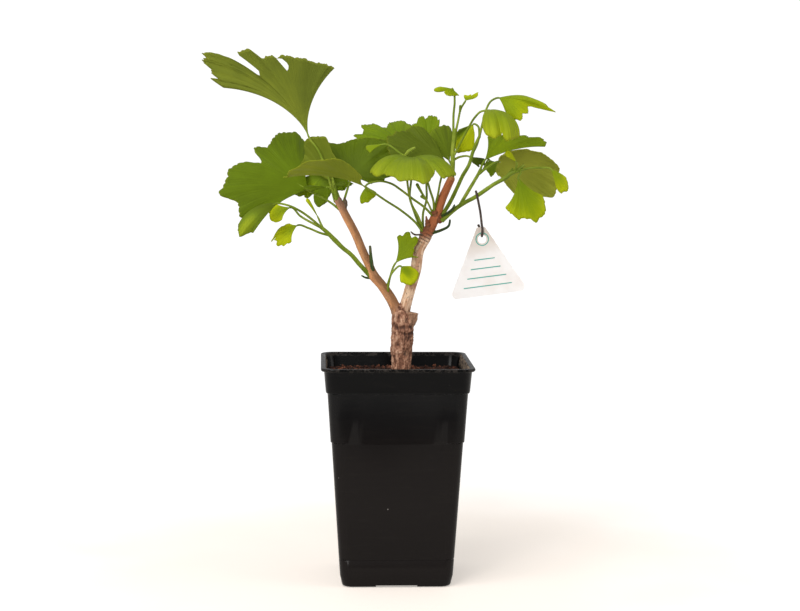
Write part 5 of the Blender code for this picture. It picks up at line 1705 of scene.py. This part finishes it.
def make_stage(look):
    """The camera, the floor, the world and three soft lights."""
    make_camera()
    make_floor(look)
    make_world(look)
    bpy.context.scene.view_settings.view_transform = "Standard"
    add_light("sky_light", (-0.6, -0.75, 1.5), (0, 0, 0.25), 0.9, 13 * look.light, (1.0, 0.98, 0.95))
    add_light("front_light", (-0.7, -1.8, 0.75), (0, 0, 0.25), 0.9, 15 * look.light, (1.0, 0.985, 0.96))
    add_light("right_light", (1.3, -0.5, 0.8), (0, 0, 0.25), 0.8, 4.0 * look.light, (1.0, 0.97, 0.94))


def operator(kind, label, doc, look_name, make):
    """An operator class that makes one piece, or a group of like pieces, from its settings."""

    def execute(self, context):
        make(getattr(context.scene, look_name))
        return {"FINISHED"}

    return type(
        "GINKGO_OT_" + kind,
        (bpy.types.Operator,),
        {
            "__doc__": doc,
            "bl_idname": "ginkgo." + kind,
            "bl_label": label,
            "bl_options": {"REGISTER", "UNDO"},
            "execute": execute,
        },
    )


LOOKS = {
    "ginkgo_stage": StageLook,
    "ginkgo_pot": PotLook,
    "ginkgo_soil": SoilLook,
    "ginkgo_wood": WoodLook,
    "ginkgo_leaf": LeafLook,
    "ginkgo_label": LabelLook,
}
OPERATORS = (
    operator("stage", "Set the stage", "Adds camera, floor and lights", "ginkgo_stage", make_stage),
    operator("pot", "Mould the pot", "Makes the square nursery pot", "ginkgo_pot", make_pot),
    operator("soil", "Fill in the soil", "Makes the compost and its crumbs", "ginkgo_soil", make_soil),
    operator("wood", "Grow the wood", "Makes the trunk and its branches", "ginkgo_wood", make_wood),
    operator("shoots", "Grow the shoots", "Makes this year's green shoots", "ginkgo_leaf", make_shoots),
    operator("leaves", "Grow the leaves", "Makes every fan leaf and its stalk", "ginkgo_leaf", make_leaves),
    operator("label", "Cut the label", "Makes the blank label card", "ginkgo_label", make_label),
    operator("wire", "Bend the wire", "Makes the label's wire", "ginkgo_label", make_wire),
)


class GINKGO_PT_pieces(bpy.types.Panel):
    """The bonsai's settings and the operators that make its pieces"""

    bl_label = "Ginkgo bonsai"
    bl_idname = "GINKGO_PT_pieces"
    bl_space_type = "VIEW_3D"
    bl_region_type = "UI"
    bl_category = "Ginkgo"

    def draw(self, context):
        for name, look in LOOKS.items():
            box = self.layout.box()
            for key in look.__annotations__:
                box.prop(getattr(context.scene, name), key)
        for made in OPERATORS:
            self.layout.operator(made.bl_idname)


CLASSES = (*LOOKS.values(), *OPERATORS, GINKGO_PT_pieces)


def register():
    for made in CLASSES:
        bpy.utils.register_class(made)
    for name, look in LOOKS.items():
        setattr(bpy.types.Scene, name, bpy.props.PointerProperty(type=look))


def unregister():
    for name in LOOKS:
        delattr(bpy.types.Scene, name)
    for made in reversed(CLASSES):
        bpy.utils.unregister_class(made)


def main():
    register()
    for made in OPERATORS:
        getattr(bpy.ops.ginkgo, made.bl_idname.split(".")[1])()


if __name__ == "__main__":
    main()
